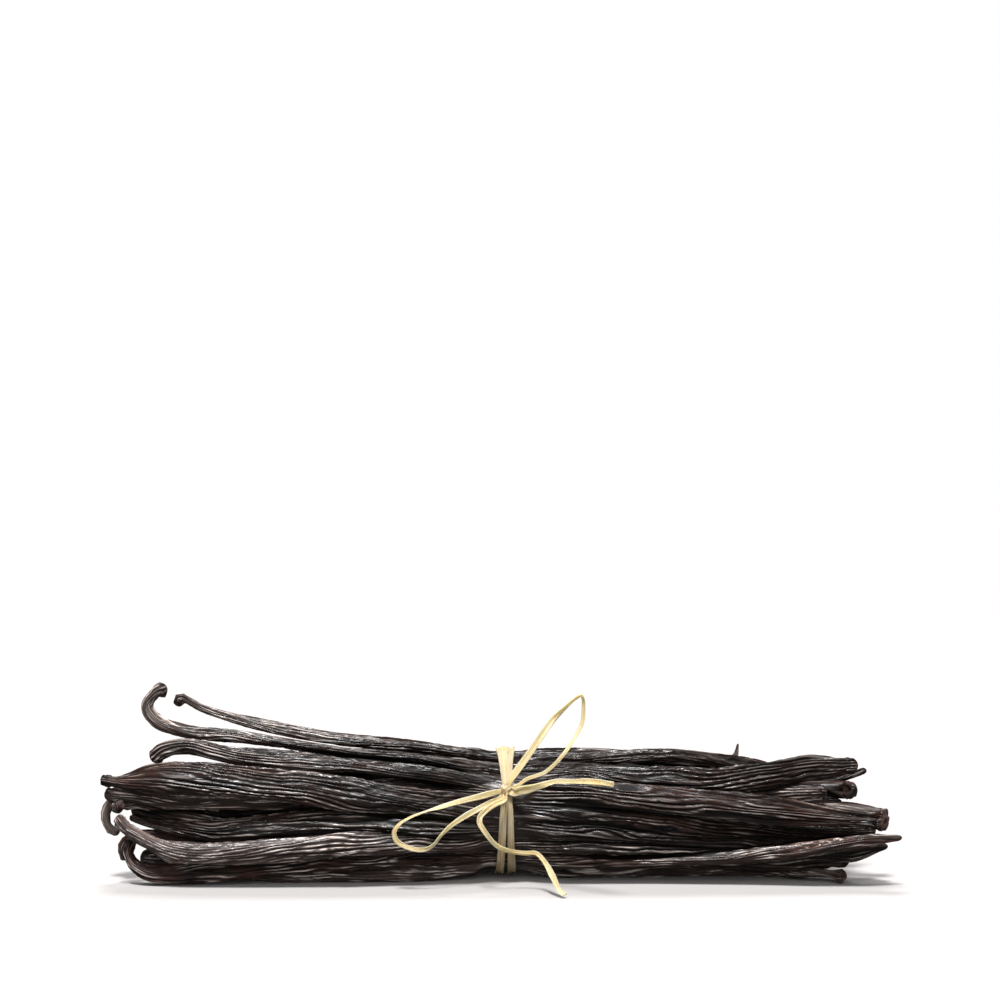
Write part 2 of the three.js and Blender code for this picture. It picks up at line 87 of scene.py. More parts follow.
# How each kind of pod end narrows: the radius of its neck, how long the neck is bare, how
# far the body takes to fill out behind it, how much a knob stands out, and how far the very
# end is rounded.
END_VALUES = ("neck", "bare", "flare", "knob", "reach")
END_ROWS = {
    "stalk": (1.5, 0.0, 26.0, 0.7, 1.3),
    "blunt": (1.9, 0.0, 13.0, 0.0, 1.7),
    "paddle": (1.8, 0.0, 34.0, 0.0, 1.9),
    "tip": (0.8, 0.0, 36.0, 0.0, 1.0),
    "slender": (1.5, 0.0, 42.0, 0.0, 1.4),
    "nib": (0.7, 0.0, 9.0, 0.0, 1.2),
    "spike": (0.3, 0.0, 8.0, 0.0, 0.5),
    "swan": (1.2, 0.0, 16.0, 0.5, 1.5),
    "stump": (2.0, 0.0, 12.0, 0.35, 0.9),
    "knob": (0.8, 0.3, 13.0, 0.8, 1.5),
    "long_neck": (0.9, 4.5, 9.0, 0.75, 2.2),
    "curl": (1.1, 0.0, 22.0, 0.45, 1.2),
    "slim_knob": (0.8, 0.3, 32.0, 0.6, 1.2),
    "strap": (1.0, 0.0, 34.0, 0.0, 1.0),
}
ENDS = {kind: dict(zip(END_VALUES, row)) for kind, row in END_ROWS.items()}

# Which ends have a stalk's scar, which aren't crinkled, and where a knob stands out.
SCARRED_ENDS = ("stalk", "stump")
SMOOTH_ENDS = ("tip", "spike", "nib")
KNOB_FROM_END = 1.2
KNOB_SPREAD = 1.4
SCAR_DEPTH = 0.7

# How far beside its neighbours a pod's skin is darkened as painted shade, how far it falls away
# there, and how far from the tie this begins and is full.
CREVICE_REACH = 1.1
CREVICE_DEPTH = 0.45
TIED_HALF_WIDTH = 4.0
TIED_FADE = 9.0
FAR = 9.0

# Each noise in the skin: how far its spots reach round a pod and along it, and the number
# that sets its random draws apart. The two wanders' reach along is times the stretch.
SKIN_NOISES = {
    "wander": (1.7, 1.7, 2),
    "drift": (4.5, 30.0, 3),
    "fine_wander": (0.9, 0.7, 4),
    "strength": (2.6, 11.0, 5),
    "lumps": (4.0, 15.0, 6),
    "kinks": (1.6, 3.6, 7),
    "slanting": (1.1, 8.0, 8),
    "folds": (2.4, 1.1, 9),
    "beads": (1.0, 5.0, 10),
    "crinkles": (1.0, 0.75, 12),
    "slant_patches": (3.5, 9.0, 13),
}

# The furrows of a pod, and how far its ridges and its slanting creases turn round it, in
# radians for each millimetre.
FURROWS = 3
MOST_LEAN = 0.02
HELIX_SLOPE = 0.2

# The lesser relief: the finer ridges as a share of the broad ones' height, and the depth or
# height of the folds in bends, the slanting creases, the lumps and the ends' crinkles.
FINE_SHARE = 0.35
FOLD_DEPTH = 0.3
SLANT_DEPTH = 0.22
LUMP_HEIGHT = 0.2
CRINKLE_HEIGHT = 0.5

# A pod whose half width and half thickness add up to less than this is slim there, with
# lower relief.
SLIM = 4.6

# What wavers along a pod or a straw: by how much, over what length, and the number that sets
# its random draws apart. Turns are in radians, twists in degrees and the rest are shares.
WAVERS = {
    "pod_lean": (0.25, 41, 1),
    "furrow_turn": (0.9, 37, 11),
    "furrow_depth": (0.9, 17, 14),
    "pod_width": (0.1, 14, 30),
    "pod_thickness": (0.1, 14, 31),
    "pod_twist": (16, 24, 32),
    "straw_fold": (0.45, 9, 1),
    "straw_curl": (0.4, 5, 2),
    "straw_twist": (30, 8, 3),
    "straw_width": (0.12, 5, 4),
}

# The part of a pod's section that faces out of the bundle gets the points closest together.
FACING_HALF_TURN = np.radians(110)
HIDDEN_CLOSENESS = 0.4

# The pods that fill the back and the inside lie by a rule: how far they reach, how large
# they are, at which angles round the tie they pass it and on which ring, and how they fan
# out from there, sag and hook at their ends. Each spread is the most that a draw adds.
REACH_LEFT = 80.0
REACH_RIGHT = 76.0
REACH_SPREAD = 7.0
HIGHEST_END = 20.5
TABLE_PRESS = 0.4
RULE_SIZE = (6.3, 4.2)
RULE_SIZE_SPREAD = (0.7, 0.4)
ROLL_SPREAD = 25.0
BACK_ANGLES = (114, 134, 155, 175, 194, 212, 231, 250, 270)
INNER_ANGLES = (75, 125, 165, 205, 250, 300)
INNER_RING = 0.5
RING_INSET = 2.3
FAN_OUT = 1.25
HALF_FAN = 1.13
FAN_SAG = 9.0
FAN_AT_LEFT = -46.0
FAN_AT_RIGHT = 48.0
BODY_SPREAD = 1.0
END_SPREAD = 2.5
HOOK_RUN = 6.0
HOOK_SPREAD = (1.5, 3.0, 4.0)
RULE_SEED = 20
RULE_TONE_SEED = 1000
RULE_MOST_TONE = 0.5

# How finely the pods and the core are made: points round and rings along each, of which
# these many round off an end, and the samples that they are spaced by.
FRONT_GRID = (118, 236)
INSIDE_GRID = (76, 150)
BACK_GRID = (72, 144)
HIDDEN_GRID = (22, 66)
CORE_GRID = (144, 110)
CAP_RINGS = 7
LINE_SAMPLES = 2400
EDGE_SAMPLES = 1441
TABLE_SAMPLES = 500
TABLE_INSET = 1.5

# A pod that shows: its name, its full width and thickness, the roll of its wide side at each end
# in degrees, its two ends, how grey and how rusty its skin is at the left, in the middle and at
# the right, and its middle line from left to right. The grey also sets how much painted highlight
# its crests show, and part of it is painted light and shade: pods low down and in shade are set
# paler, and pods seen in the gaps are set darker.
PLACED_PODS = [
    dict(
        name="pod_top_thin", size=(6.0, 2.7), roll=(0, 10), ends=("slim_knob", "tip"),
        grey=(0.8, -0.6, -0.1), rust=(0.3, 0.1, 0.2),
        route=[
            (-77, 3, 39.2), (-76.6, 3, 41.2), (-70.7, 3, 38.6), (-59.8, 2, 35.6), (-45.3, 1, 32.6),
            (-23.8, 0, 30.2), (TIE_X, -2, 27.5), (23.8, -1, 27.2), (42.7, -2, 27.9),
            (59.5, 0, 25.6), (70, 2, 22.6), (79, 3, 21.4), (87.8, 3, 24),
        ],
    ),
    dict(
        name="pod_swan_neck", size=(5.8, 2.7), roll=(0, 30), ends=("swan", "blunt"),
        grey=(0.95, -1.2, -0.1), rust=(0.4, 0.1, 0.1),
        route=[
            (-78.7, -4, 44.6), (-81.3, -5, 43.2), (-83, -6, 40.2), (-80.5, -7, 36.8),
            (-74, -7, 34.5), (-61, -7, 33.1), (-39.8, -8, 30), (-18.7, -8.5, 28),
            (TIE_X, -8, 25.3), (21.1, -6, 25.2), (44.9, 0, 22.6), (61.9, 2, 20.6), (74, 1.5, 19.6),
            (85.3, 1, 19.4),
        ],
    ),
    dict(
        name="pod_arch", size=(6.8, 2.8), roll=(0, 85), ends=("paddle", "blunt"),
        grey=(0.45, -0.4, -0.1), rust=(0.3, 0.2, 0.15),
        route=[
            (-81.2, -11, 28.2), (-77.8, -12, 30.7), (-72.7, -12, 31.5), (-61.6, -12, 29.4),
            (-41.8, -12.5, 28), (-18.6, -12.8, 25.6), (TIE_X, -11.7, 22.8), (20.9, -13, 24),
            (41.7, -14, 23.5), (53.2, -14, 23.8), (62.2, -13, 24.6), (72.2, -11, 26.3),
            (83.5, -10, 26.9),
        ],
    ),
    dict(
        name="pod_rusty_end", size=(6.4, 4.2), roll=(60, 70), ends=("slender", "stalk"),
        grey=(0.8, -0.04, 0.04), rust=(0.3, 0.15, 0.4),
        route=[
            (-92.2, -10, 20.2), (-88, -11, 19.9), (-80, -11, 18.9), (-68, -10.5, 18.7),
            (-56.1, -10.5, 19.2), (-35, -11, 20.4), (-16.2, -12.5, 20.8), (TIE_X, -13.8, 20.3),
            (16.1, -16, 20.8), (34.5, -17, 20), (55.2, -17, 18.1), (69, -17, 16.5),
            (79, -17, 15.6), (85.8, -17.7, 15.2), (88.5, -20, 15.1),
        ],
    ),
    dict(
        name="pod_broad", size=(7.4, 4.2), roll=(90, 60), ends=("knob", "slender"),
        grey=(0.05, 0.0, -0.15), rust=(0.5, 0.2, 0.3),
        route=[
            (-92.7, -12, 23.9), (-90, -13, 23.5), (-85.6, -14, 23.4), (-76.1, -16, 24.6),
            (-62.1, -17, 24.2), (-43.6, -18, 22.6), (-25.2, -18, 20), (TIE_X, -14.9, 16.9),
            (16.1, -16, 17), (34.6, -16, 15.8), (55.7, -13, 13.1), (72, -12, 11.8),
            (87.2, -13, 12.4),
        ],
    ),
    dict(
        name="pod_middle", size=(6.4, 4.4), roll=(70, 60), ends=("tip", "blunt"),
        grey=(0.05, -0.06, -0.15), rust=(0.3, 0.1, 0.05),
        route=[
            (-86.5, -9, 14.6), (-82.7, -11, 13.7), (-74.2, -13, 12.6), (-60, -15, 12.1),
            (-46.1, -16, 13.6), (-35.6, -17, 14.7), (-16.1, -17, 14), (TIE_X, -14.7, 13.3),
            (16.1, -16, 13.4), (34.6, -15, 12.4), (55.7, -13, 10.3), (69.7, -12, 9.2),
            (81, -10, 9.6),
        ],
    ),
    dict(
        name="pod_swoop", size=(6.6, 4.4), roll=(40, 60), ends=("slender", "nib"),
        grey=(1.0, 0.12, 0.1), rust=(0.4, 0.2, 0.1),
        route=[
            (-88.1, -17, 16), (-86, -18, 13.6), (-82.4, -19, 11.5), (-78.2, -19.5, 9.6),
            (-74, -20, 8.6), (-64, -20, 7.8), (-48, -20, 8.9), (-32.1, -19, 10.6),
            (-16.1, -17, 10.6), (TIE_X, -13.2, 9.8), (16.2, -15, 9.8), (34.7, -14, 9),
            (55.7, -13, 7.6), (74.2, -13, 7.3), (89.8, -14, 8.6),
        ],
    ),
    dict(
        name="pod_low_curl", size=(5.6, 2.7), roll=(65, 0), ends=("curl", "nib"),
        grey=(0.25, 0.15, 0.45), rust=(0.8, 0.3, 0.8),
        route=[
            (-84.9, -14, 10.3), (-85.8, -15, 7.9), (-84.6, -16, 5), (-80.5, -17, 2.9),
            (-71.4, -16.5, 3.2), (-60, -16, 4.3), (-43.9, -16, 5.6), (-23.1, -15, 6.2),
            (TIE_X, -10.6, 6.5), (16.2, -13, 5.4), (34.7, -14.5, 5.6), (55.3, -16, 6.6),
            (71.2, -18, 8.6), (84.7, -19, 10.8), (92.1, -19, 11.4),
        ],
    ),
    dict(
        name="pod_floor", size=(7.4, 4.8), roll=(0, 0), ends=("tip", "long_neck"),
        grey=(0.7, 0.6, 0.7), rust=(0.1, 0.0, 0.0),
        route=[
            (-82, -9, 7.4), (-76, -10, 4.4), (-64.3, -10, 2.6), (-46.5, -11.5, 2.1),
            (-27.9, -11.5, 2.1), (-11.6, -9, 2.8), (TIE_X, -6.6, 3.9), (16.4, -5, 2.6),
            (37.5, -3.5, 2.1), (56, -3.5, 2.1), (67, -7.5, 2.2), (73, -12, 2.3), (80, -15.5, 1.6),
        ],
    ),
]

# Pods inside the bundle, whose ends look out.
INSIDE_PODS = [
    dict(
        name="pod_inside_upper", size=(6.2, 4.2), roll=(60, 90), ends=("long_neck", "blunt"),
        grey=(0.5, 0.0, 0.4), rust=(1.0, 0.1, 0.2),
        route=[
            (-88, -15, 16.3), (-88.7, -14, 18.7), (-87.2, -12, 17.6), (-84.5, -11, 18.4),
            (-80, -9, 18.2), (-74, -7, 16.9), (-56.2, -7, 17.2), (-28.1, -8, 18.5),
            (TIE_X, -7.5, 19.6), (23.5, -8, 20.4), (46.9, -9, 20.5), (60.5, -11, 20.7),
            (76, -12, 20.6),
        ],
    ),
    dict(
        name="pod_inside_hook", size=(6.0, 4.0), roll=(30, 40), ends=("strap", "blunt"),
        grey=(1.6, 0.0, 0.2), rust=(0.0, 0.1, 0.1),
        route=[
            (-89.1, -9, 10.6), (-91.7, -9, 12.5), (-92.1, -9, 15.8), (-90.5, -8, 18.1),
            (-84.5, -6, 18), (-66.1, -4, 16.6), (TIE_X, -3, 17), (47.2, -4, 17.6),
            (66, -5, 17.3), (80.5, -6, 17.2),
        ],
    ),
    dict(
        name="pod_inside_lower", size=(6.4, 4.2), roll=(40, 20), ends=("strap", "blunt"),
        grey=(0.5, 0.0, 0.4), rust=(1.0, 0.1, 0.1),
        route=[
            (-87.2, -9, 4.6), (-88.3, -9, 6.6), (-87.6, -9, 8.8), (-84.5, -9, 10.2),
            (-78.3, -9, 9.9), (-60.9, -8, 8), (TIE_X, -6, 8.8), (23.4, -8, 8), (46.8, -9, 5.7),
            (65.3, -10, 4.7), (81.5, -11, 5.6),
        ],
    ),
    dict(
        name="pod_inside_middle", size=(6.6, 4.4), roll=(50, 50), ends=("blunt", "stump"),
        grey=(0.2, 0.0, 0.5), rust=(0.2, 0.1, 0.3),
        route=[
            (-86.3, -8.5, 16.8), (-80, -8.5, 15.2), (-72, -9, 13.2), (-60.3, -10, 11.4),
            (-39.7, -9, 11.5), (TIE_X, -8, 14), (23.5, -8, 15.3), (47, -8, 15), (70.3, -9, 14.8),
            (84.2, -9, 14.8), (90.8, -10, 14.2),
        ],
    ),
    dict(
        name="pod_inside_floor", size=(6.2, 4.0), roll=(0, 0), ends=("blunt", "tip"),
        grey=(0.3, 0.1, 0.2), rust=(0.1, 0.1, 0.1),
        route=[
            (-84.5, -7, 4.6), (-76, -6, 4.3), (-60, -4, 2.8), (-30, -3, 2.2), (TIE_X, 0.5, 3.8),
            (23.7, 2.5, 2.2), (47.3, 3.5, 2), (63.8, 2, 2), (73.5, -1, 1.9),
        ],
    ),
    dict(
        name="pod_bent_point", size=(6.0, 3.8), roll=(0, 10), ends=("blunt", "spike"),
        grey=(0.2, 0.0, 0.1), rust=(0.1, 0.1, 0.2),
        route=[
            (-76, 8, 19.5), (-58, 7.5, 24), (-30, 6.5, 26.4), (TIE_X, 4.3, 26.8), (30, 6, 26.2),
            (48, 6.5, 24.8), (54, 7.2, 25), (56.7, 7.8, 26.6), (57.6, 8, 29.8),
        ],
    ),
]

# The core that the pods lie round, dark with painted shade: x, middle y, middle z, half depth,
# half height.
CORE = np.array([
    (-83, -4, 16.6, 0.5, 0.4),
    (-79, -4, 16.4, 2, 1.6),
    (-72, -3.5, 15.2, 3.6, 3),
    (-60, -3, 13.4, 10, 7),
    (-30, -1.5, 14, 13, 10),
    (TIE_X, 0, TIE_CENTRE_Z, 13.5, 11),
    (30, -1, 14.5, 13.5, 10.5),
    (56, -1, 13, 11, 8),
    (70, -1, 13, 3, 2),
], dtype=float)

# Its skin has bulges like pods and creases as on a pod of this radius, and it is painted darker as
# shade, most between its bulges.
CORE_LOBES = 12
CORE_LOBE_DEPTH = 0.13
CORE_RADIUS = 4.5
CORE_SWELL = 0.12
CORE_PAINTED_SHADE = 0.7

# The free strands of the bow, from the knot outwards; the loops end at the knot again.
STRAND_ROUTES = {
    "raffia_loop_left": [
        (-0.4, -17.4, 21.7), (-2.4, -19, 21.4), (-4.7, -20.4, 20.9), (-9.1, -21.9, 20),
        (-13.6, -22.6, 18.8), (-17, -23.2, 17.8), (-20.4, -24, 16.6), (-22.6, -24.4, 15.3),
        (-23.8, -24.6, 13.5), (-23.3, -24.6, 11.6), (-21.5, -24.4, 10.3), (-19.3, -24.2, 9.6),
        (-17, -24, 9.6), (-15.2, -23.8, 10.5), (-13.6, -23.5, 12.5), (-11.3, -23, 14.6),
        (-8, -22.2, 16.7), (-4.6, -20.8, 18.3), (-2, -19.4, 19.5), (0, -17.6, 20.1),
    ],
    "raffia_loop_right": [
        (2.4, -17, 24.2), (4, -16.6, 26.4), (6.6, -15.6, 29.9), (8.8, -14.4, 33),
        (10.7, -13, 35.6), (12.7, -11.4, 38.1), (14.8, -9.8, 40), (17.2, -8.2, 41.9),
        (19, -7.3, 42.9), (19.6, -7.1, 42.1), (19.7, -7.4, 39.6), (19.4, -8, 36.8),
        (18, -9.4, 33.8), (16.4, -11, 31.6), (14.8, -12.8, 29.8), (12.6, -14.8, 27.7),
        (10.2, -16.2, 25.9), (8.4, -17, 25.3), (6.2, -17.4, 24.6), (4.2, -17.4, 23.2),
    ],
    "raffia_tail_right": [
        (3.3, -17.6, 21.7), (4.6, -19, 22.3), (6, -20.5, 22.8), (7.4, -21.9, 23.3),
        (8.8, -23.3, 23.8), (10.2, -24.6, 24.3), (11.7, -26, 24.8), (13.2, -27.3, 25.2),
        (14.7, -28.6, 25.4), (16.2, -30.1, 25.6), (17.6, -31.5, 25.8), (19.1, -32.8, 26),
        (20.6, -34.2, 26.1), (22.1, -35.6, 26.2), (23.6, -37, 26.2), (25.1, -38.4, 26.2),
    ],
    "raffia_tail_front": [
        (1.1, -18.6, 20), (-1.2, -20.5, 19.2), (-3.3, -22.3, 18), (-4.5, -23.6, 16.9),
        (-4.6, -24.4, 15.6), (-3.8, -24.9, 14.2), (-2.3, -25, 12.2), (-1.1, -24.6, 10.8),
        (0.2, -24, 9.8), (2.3, -23.4, 9), (5.7, -23.2, 8.5), (8.2, -24, 8.6),
        (10.1, -26, 7), (11.7, -29, 4.4), (13.2, -31, 1.5), (14.4, -32.4, 0.7),
    ],
}
# For each strand: its half width at the knot, half way and at its end, how far it twists
# there in degrees, and what its far end is.
STRAND_SHAPES = {
    "raffia_loop_left": ((0.62, 0.52, 0.58), (0, 45, -15), "object"),
    "raffia_loop_right": ((0.85, 0.62, 0.38), (-10, 25, 0), "object"),
    "raffia_tail_right": ((1.05, 0.72, 0.68), (15, -20, 5), "bare"),
    "raffia_tail_front": ((0.6, 0.52, 0.68), (0, 45, -30), "bare"),
}
STRAND_RING_STEP = 0.3
INTO_KNOT = 0.45
STRAND_FRONT = np.array([0.0, -1.0, 0.15])

# Each turn of the tie: its middle, beside TIE_X, and its half width, both at the bottom, the
# front, the knot, the top and the back, and its lift over the tie's outline.
TIE_TURNS = {
    "raffia_turn_left": (
        (-1.75, -0.95, -0.35, -1.5, -1.4), (1.05, 0.62, 0.5, 1.1, 1.1), 0.5,
    ),
    "raffia_turn_right": (
        (1.5, 1.05, 0.75, 1.0, 1.4), (1.15, 0.7, 0.5, 1.15, 1.1), 0.55,
    ),
    "raffia_turn_over": (
        (-1.45, -0.25, 0.15, -0.3, 0.1), (0.45, 0.4, 0.45, 0.9, 0.8), 0.75,
    ),
}
TURN_RINGS = 240
TURN_RADIUS = 15

# Each wrap of the knot: its three radii, the axis that it runs round, and its half width.
KNOT_WRAPS = {
    "raffia_knot_inner": ((1.0, 1.1, 1.0), (0.1, 0.2, 1.0), 0.8),
    "raffia_knot_slant": ((1.25, 1.3, 1.3), (0.75, 0.1, 0.65), 0.7),
    "raffia_knot_cross": ((1.35, 1.45, 1.35), (-0.6, 0.15, 0.8), 0.55),
}
WRAP_RINGS = 120
WRAP_RADIUS = 1.5
WRAP_BOW = 0.6
STRAW_COLUMNS = 15
WRAP_COLUMNS = 13

# The straw's surface: how wide and long the spots of its fibres and of its pleats are, how
# high both stand, how much thinner it is at its edges, and how much of all this relief the
# pulled tight straw of the tie and of the knot keeps.
FIBRE_SPOT = (0.16, 7.0)
PLEAT_SPOT = (0.42, 11.0)
FIBRE_HEIGHT = 0.05
PLEAT_HEIGHT = 0.14
EDGE_THINNING = 0.75
TURN_RELIEF = 0.45
WRAP_RELIEF = 0.5

# The first random seed of each group of pieces, and the step from one piece to the next.
SEEDS = {
    "strands": 60, "turns": 200, "wraps": 300, "core": 400,
    "front": 500, "inside": 800, "back": 1100, "hidden": 1400,
}
STRAW_SEED_STEP = 10
POD_SEED_STEP = 20

# Half the side of the square floor, in metres.
FLOOR_HALF_M = 60.0

# ---------------------------------------------------------------- settings

# What every colour among the settings has, and what every share has.
COLOUR = {"subtype": "COLOR", "min": 0.0, "max": 1.0}
SHARE = {"subtype": "FACTOR", "min": 0.0, "max": 1.0}


class PodSettings(bpy.types.PropertyGroup):
    """Relief and finish of the pods' skin."""

    crease_spacing: FloatProperty(
        name="Crease spacing", unit="LENGTH", default=0.00092, min=0.0003,
        description="Distance from one lengthwise ridge to the next",
    )
    crease_stretch: FloatProperty(
        name="Crease stretch", default=6.0, min=1.0,
        description="How many times longer than wide the ridges' wanderings are",
    )
    ridge_height: FloatProperty(
        name="Ridge height", unit="LENGTH", default=0.00052, min=0.0,
        description="Height of the lengthwise ridges over the creases between them",
    )
    furrow_depth: FloatProperty(
        name="Furrow depth", unit="LENGTH", default=0.0008, min=0.0,
        description="Depth of the few broad furrows where a pod has shrunk",
    )
    # Painted shade: the near-black crease colour stands for the shade that falls in the creases.
    crease_shade_colour: FloatVectorProperty(
        name="Crease colour", default=(0.002, 0.0016, 0.0016), **COLOUR,
        description="Skin in the creases",
    )
    dusty_colour: FloatVectorProperty(
        name="Dry crease colour", default=(0.06, 0.043, 0.037), **COLOUR,
        description="Skin in the creases where a pod is dry",
    )
    skin_colour: FloatVectorProperty(
        name="Skin colour", default=(0.0075, 0.0049, 0.0044), **COLOUR,
        description="Skin on the ridges of a dark, oily pod",
    )
    # A painted highlight: the pale crest colour stands in for light glinting on the sharp crests.
    crest_highlight_colour: FloatVectorProperty(
        name="Crest colour", default=(0.9, 0.79, 0.73), **COLOUR,
        description="Worn skin on the sharp crests",
    )
    grey_colour: FloatVectorProperty(
        name="Dry skin colour", default=(0.17, 0.128, 0.113), **COLOUR,
        description="Skin on the ridges where a pod is drier and paler",
    )
    rust_colour: FloatVectorProperty(
        name="Rusty skin colour", default=(0.1, 0.038, 0.022), **COLOUR,
        description="Skin where a pod is reddish brown",
    )
    scar_colour: FloatVectorProperty(
        name="Scar colour", default=(0.1, 0.055, 0.042), **COLOUR,
        description="The round scar where a stalk broke off",
    )
    roughness: FloatProperty(
        name="Roughness", default=0.24, **SHARE,
        description="Roughness of the skin on the ridges",
    )


class RaffiaSettings(bpy.types.PropertyGroup):
    """Sizes and finish of the raffia."""

    thickness: FloatProperty(
        name="Thickness", unit="LENGTH", default=0.0002, min=0.00005,
        description="Thickness of the straw",
    )
    straw_colour: FloatVectorProperty(
        name="Straw colour", default=(0.85, 0.68, 0.37), **COLOUR,
        description="The pale body of the straw",
    )
    fibre_colour: FloatVectorProperty(
        name="Fibre colour", default=(0.58, 0.38, 0.15), **COLOUR,
        description="The darker fibres that run along it",
    )
    roughness: FloatProperty(
        name="Roughness", default=0.55, **SHARE,
        description="Roughness of the straw",
    )


class StageSettings(bpy.types.PropertyGroup):
    """The floor, the light and the camera."""

    floor_colour: FloatVectorProperty(
        name="Floor colour", default=(0.485, 0.468, 0.462), **COLOUR,
        description="The plain floor",
    )
    floor_bounce: FloatProperty(
        name="Floor bounce", default=0.16, **SHARE,
        description="How much of its light the floor throws back on the bundle",
    )
    key_strength: FloatProperty(
        name="Key light", default=5.1, min=0.0,
        description="Strength of the soft light from above",
    )
    room_strength: FloatProperty(
        name="Room light", default=0.07, min=0.0,
        description="Strength of the even light from all round",
    )
    back_strength: FloatProperty(
        name="Back light", default=2.7, min=0.0,
        description="Strength of the light from behind that glances off the ridges",
    )
    fill_strength: FloatProperty(
        name="Fill light", default=1.7, min=0.0,
        description="Strength of the very soft light from the front",
    )
    camera_distance: FloatProperty(
        name="Camera distance", unit="LENGTH", default=0.5, min=0.05,
        description="How far the camera stands in front of the bundle's middle line",
    )
    camera_height: FloatProperty(
        name="Camera height", unit="LENGTH", default=0.0887, min=0.0,
        description="Height of the level camera over the floor",
    )
    focal_length: FloatProperty(
        name="Focal length in mm", default=75.6, min=1.0,
        description="Focal length on a sensor 36 mm wide",
    )


# ---------------------------------------------------------------- random numbers and noise

NOISE_GAIN = 2.6


class Draws:
    """Random numbers from 0 to 1 by a linear congruential rule, so that each run is alike."""

    def __init__(self, seed):
        self.drawn = seed

    def share(self):
        self.drawn = (self.drawn * 1664525 + 1013904223) % 4294967296
        return self.drawn / 4294967296

    def uneven(self, amount):
        return (2 * self.share() - 1) * amount


def smoothstep(value):
    """0 below 0, 1 above 1, and 3 x^2 - 2 x^3 between."""
    x = np.clip(value, 0, 1)
    return x * x * (3 - 2 * x)


def bell(value):
    """exp(-x^2), a bump of height 1 and half width about 1."""
    return np.exp(-np.square(value))


def corner_numbers(corners, seed):
    """A random number from 0 to 1 for each whole-numbered corner of space."""
    rng = np.random.default_rng(seed)
    order = rng.permutation(256)
    values = rng.random(256)
    x, y, z = (corners[..., axis] & 255 for axis in range(3))
    return values[order[(order[(order[x] + y) & 255] + z) & 255]]


def noise(points, seed):
    """Smooth noise from about -1 to 1: a random number at each corner of a unit lattice,
    blended between the 8 corners round a point by smoothstep weights."""
    base = np.floor(points).astype(int)
    part = smoothstep(points - base)
    total = 0
    for corner in np.ndindex(2, 2, 2):
        weight = np.prod(np.where(corner, part, 1 - part), axis=-1)
        total = total + weight * corner_numbers(base + np.array(corner), seed)
    return NOISE_GAIN * (total - 0.5)


def wavering(label, distance, seed):
    """Smooth noise along a line, by the amount and over the length that the label has."""
    amount, length, number = WAVERS[label]
    zero = 0 * distance
    return amount * noise(np.stack([distance / length, zero, zero], axis=-1), seed + number)


# ---------------------------------------------------------------- curves and meshes


def curve_points(points, t):
    """Places at t = 0 to 1 on the smooth curve through the points, which t counts evenly.
    Between two points it is a cubic whose slopes at both come from the points round them,
    spaced by the square roots of their distances (a centripetal Catmull-Rom curve)."""
    p = np.asarray(points, dtype=float)
    p = np.vstack([2 * p[0] - p[1], p, 2 * p[-1] - p[-2]])
    last = len(points) - 1
    at = np.clip(t, 0, 1) * last
    i = np.minimum(at.astype(int), last - 1)
    w = (at - i)[:, None]
    step = np.sqrt(np.linalg.norm(np.diff(p, axis=0), axis=1))[:, None]
    before, here, after = step[i], step[i + 1], step[i + 2]
    p0, p1, p2, p3 = p[i], p[i + 1], p[i + 2], p[i + 3]
    slope1 = ((p1 - p0) / before - (p2 - p0) / (before + here) + (p2 - p1) / here) * here
    slope2 = ((p2 - p1) / here - (p3 - p1) / (here + after) + (p3 - p2) / after) * here
    square = 3 * (p2 - p1) - 2 * slope1 - slope2
    cube = 2 * (p1 - p2) + slope1 + slope2
    return p1 + slope1 * w + square * w**2 + cube * w**3


def measured_curve(points, samples=LINE_SAMPLES):
    """The curve as close points, with each one's distance along it."""
    line = curve_points(points, np.linspace(0, 1, samples))
    steps = np.linalg.norm(np.diff(line, axis=0), axis=1)
    return line, np.concatenate([[0], np.cumsum(steps)])


def unit(vectors):
    """The vectors, each divided by its own length."""
    return vectors / np.maximum(np.linalg.norm(vectors, axis=-1, keepdims=True), 1e-9)


def at_distance(line, lengths, distance):
    """The curve's places and directions at the distances along it."""
    place = np.stack([np.interp(distance, lengths, line[:, k]) for k in range(3)], axis=-1)
    slope = np.gradient(line, lengths, axis=0)
    along = np.stack([np.interp(distance, lengths, slope[:, k]) for k in range(3)], axis=-1)
    return place, unit(along)


def tube_faces(rings, sides):
    """Quads between neighbouring rings of a grid, and fans that close it to a pole at each
    end. Vertex 0 is the first pole, the rings follow, and the last vertex is the other."""
    ring, side = np.meshgrid(np.arange(rings - 1), np.arange(sides), indexing="ij")
    beside = (side + 1) % sides
    first = 1 + ring * sides
    quads = np.stack(
        [first + side, first + beside, first + sides + beside, first + sides + side], axis=-1
    ).reshape(-1, 4)
    spoke = np.arange(sides)
    turned = (spoke + 1) % sides
    start = np.stack([np.zeros_like(spoke), 1 + turned, 1 + spoke], axis=-1)
    last = 1 + (rings - 1) * sides
    end = np.stack([np.full_like(spoke, last + sides), last + spoke, last + turned], axis=-1)
    return quads, np.vstack([start, end])


def hoop_faces(rings, sides):
    """Quads of a grid that closes on itself both ways, and no triangles."""
    ring, side = np.meshgrid(np.arange(rings), np.arange(sides), indexing="ij")
    here, onward = ring * sides, (ring + 1) % rings * sides
    beside = (side + 1) % sides
    quads = np.stack([here + side, here + beside, onward + beside, onward + side], axis=-1)
    return quads.reshape(-1, 4), np.zeros((0, 3), int)


def inside_out(faces):
    """The same quads and triangles, turned to face the other way."""
    return [part[:, ::-1] for part in faces]


def with_poles(first, grid, last):
    """A grid's values in the order of its vertices, between those of its two poles."""
    return np.concatenate([[first], grid.reshape(-1, *grid.shape[2:]), [last]])


def closed_by_middles(grid):
    """A grid of places with a pole in the middle of its first ring and of its last."""
    return with_poles(grid[0].mean(axis=0), grid, grid[-1].mean(axis=0))


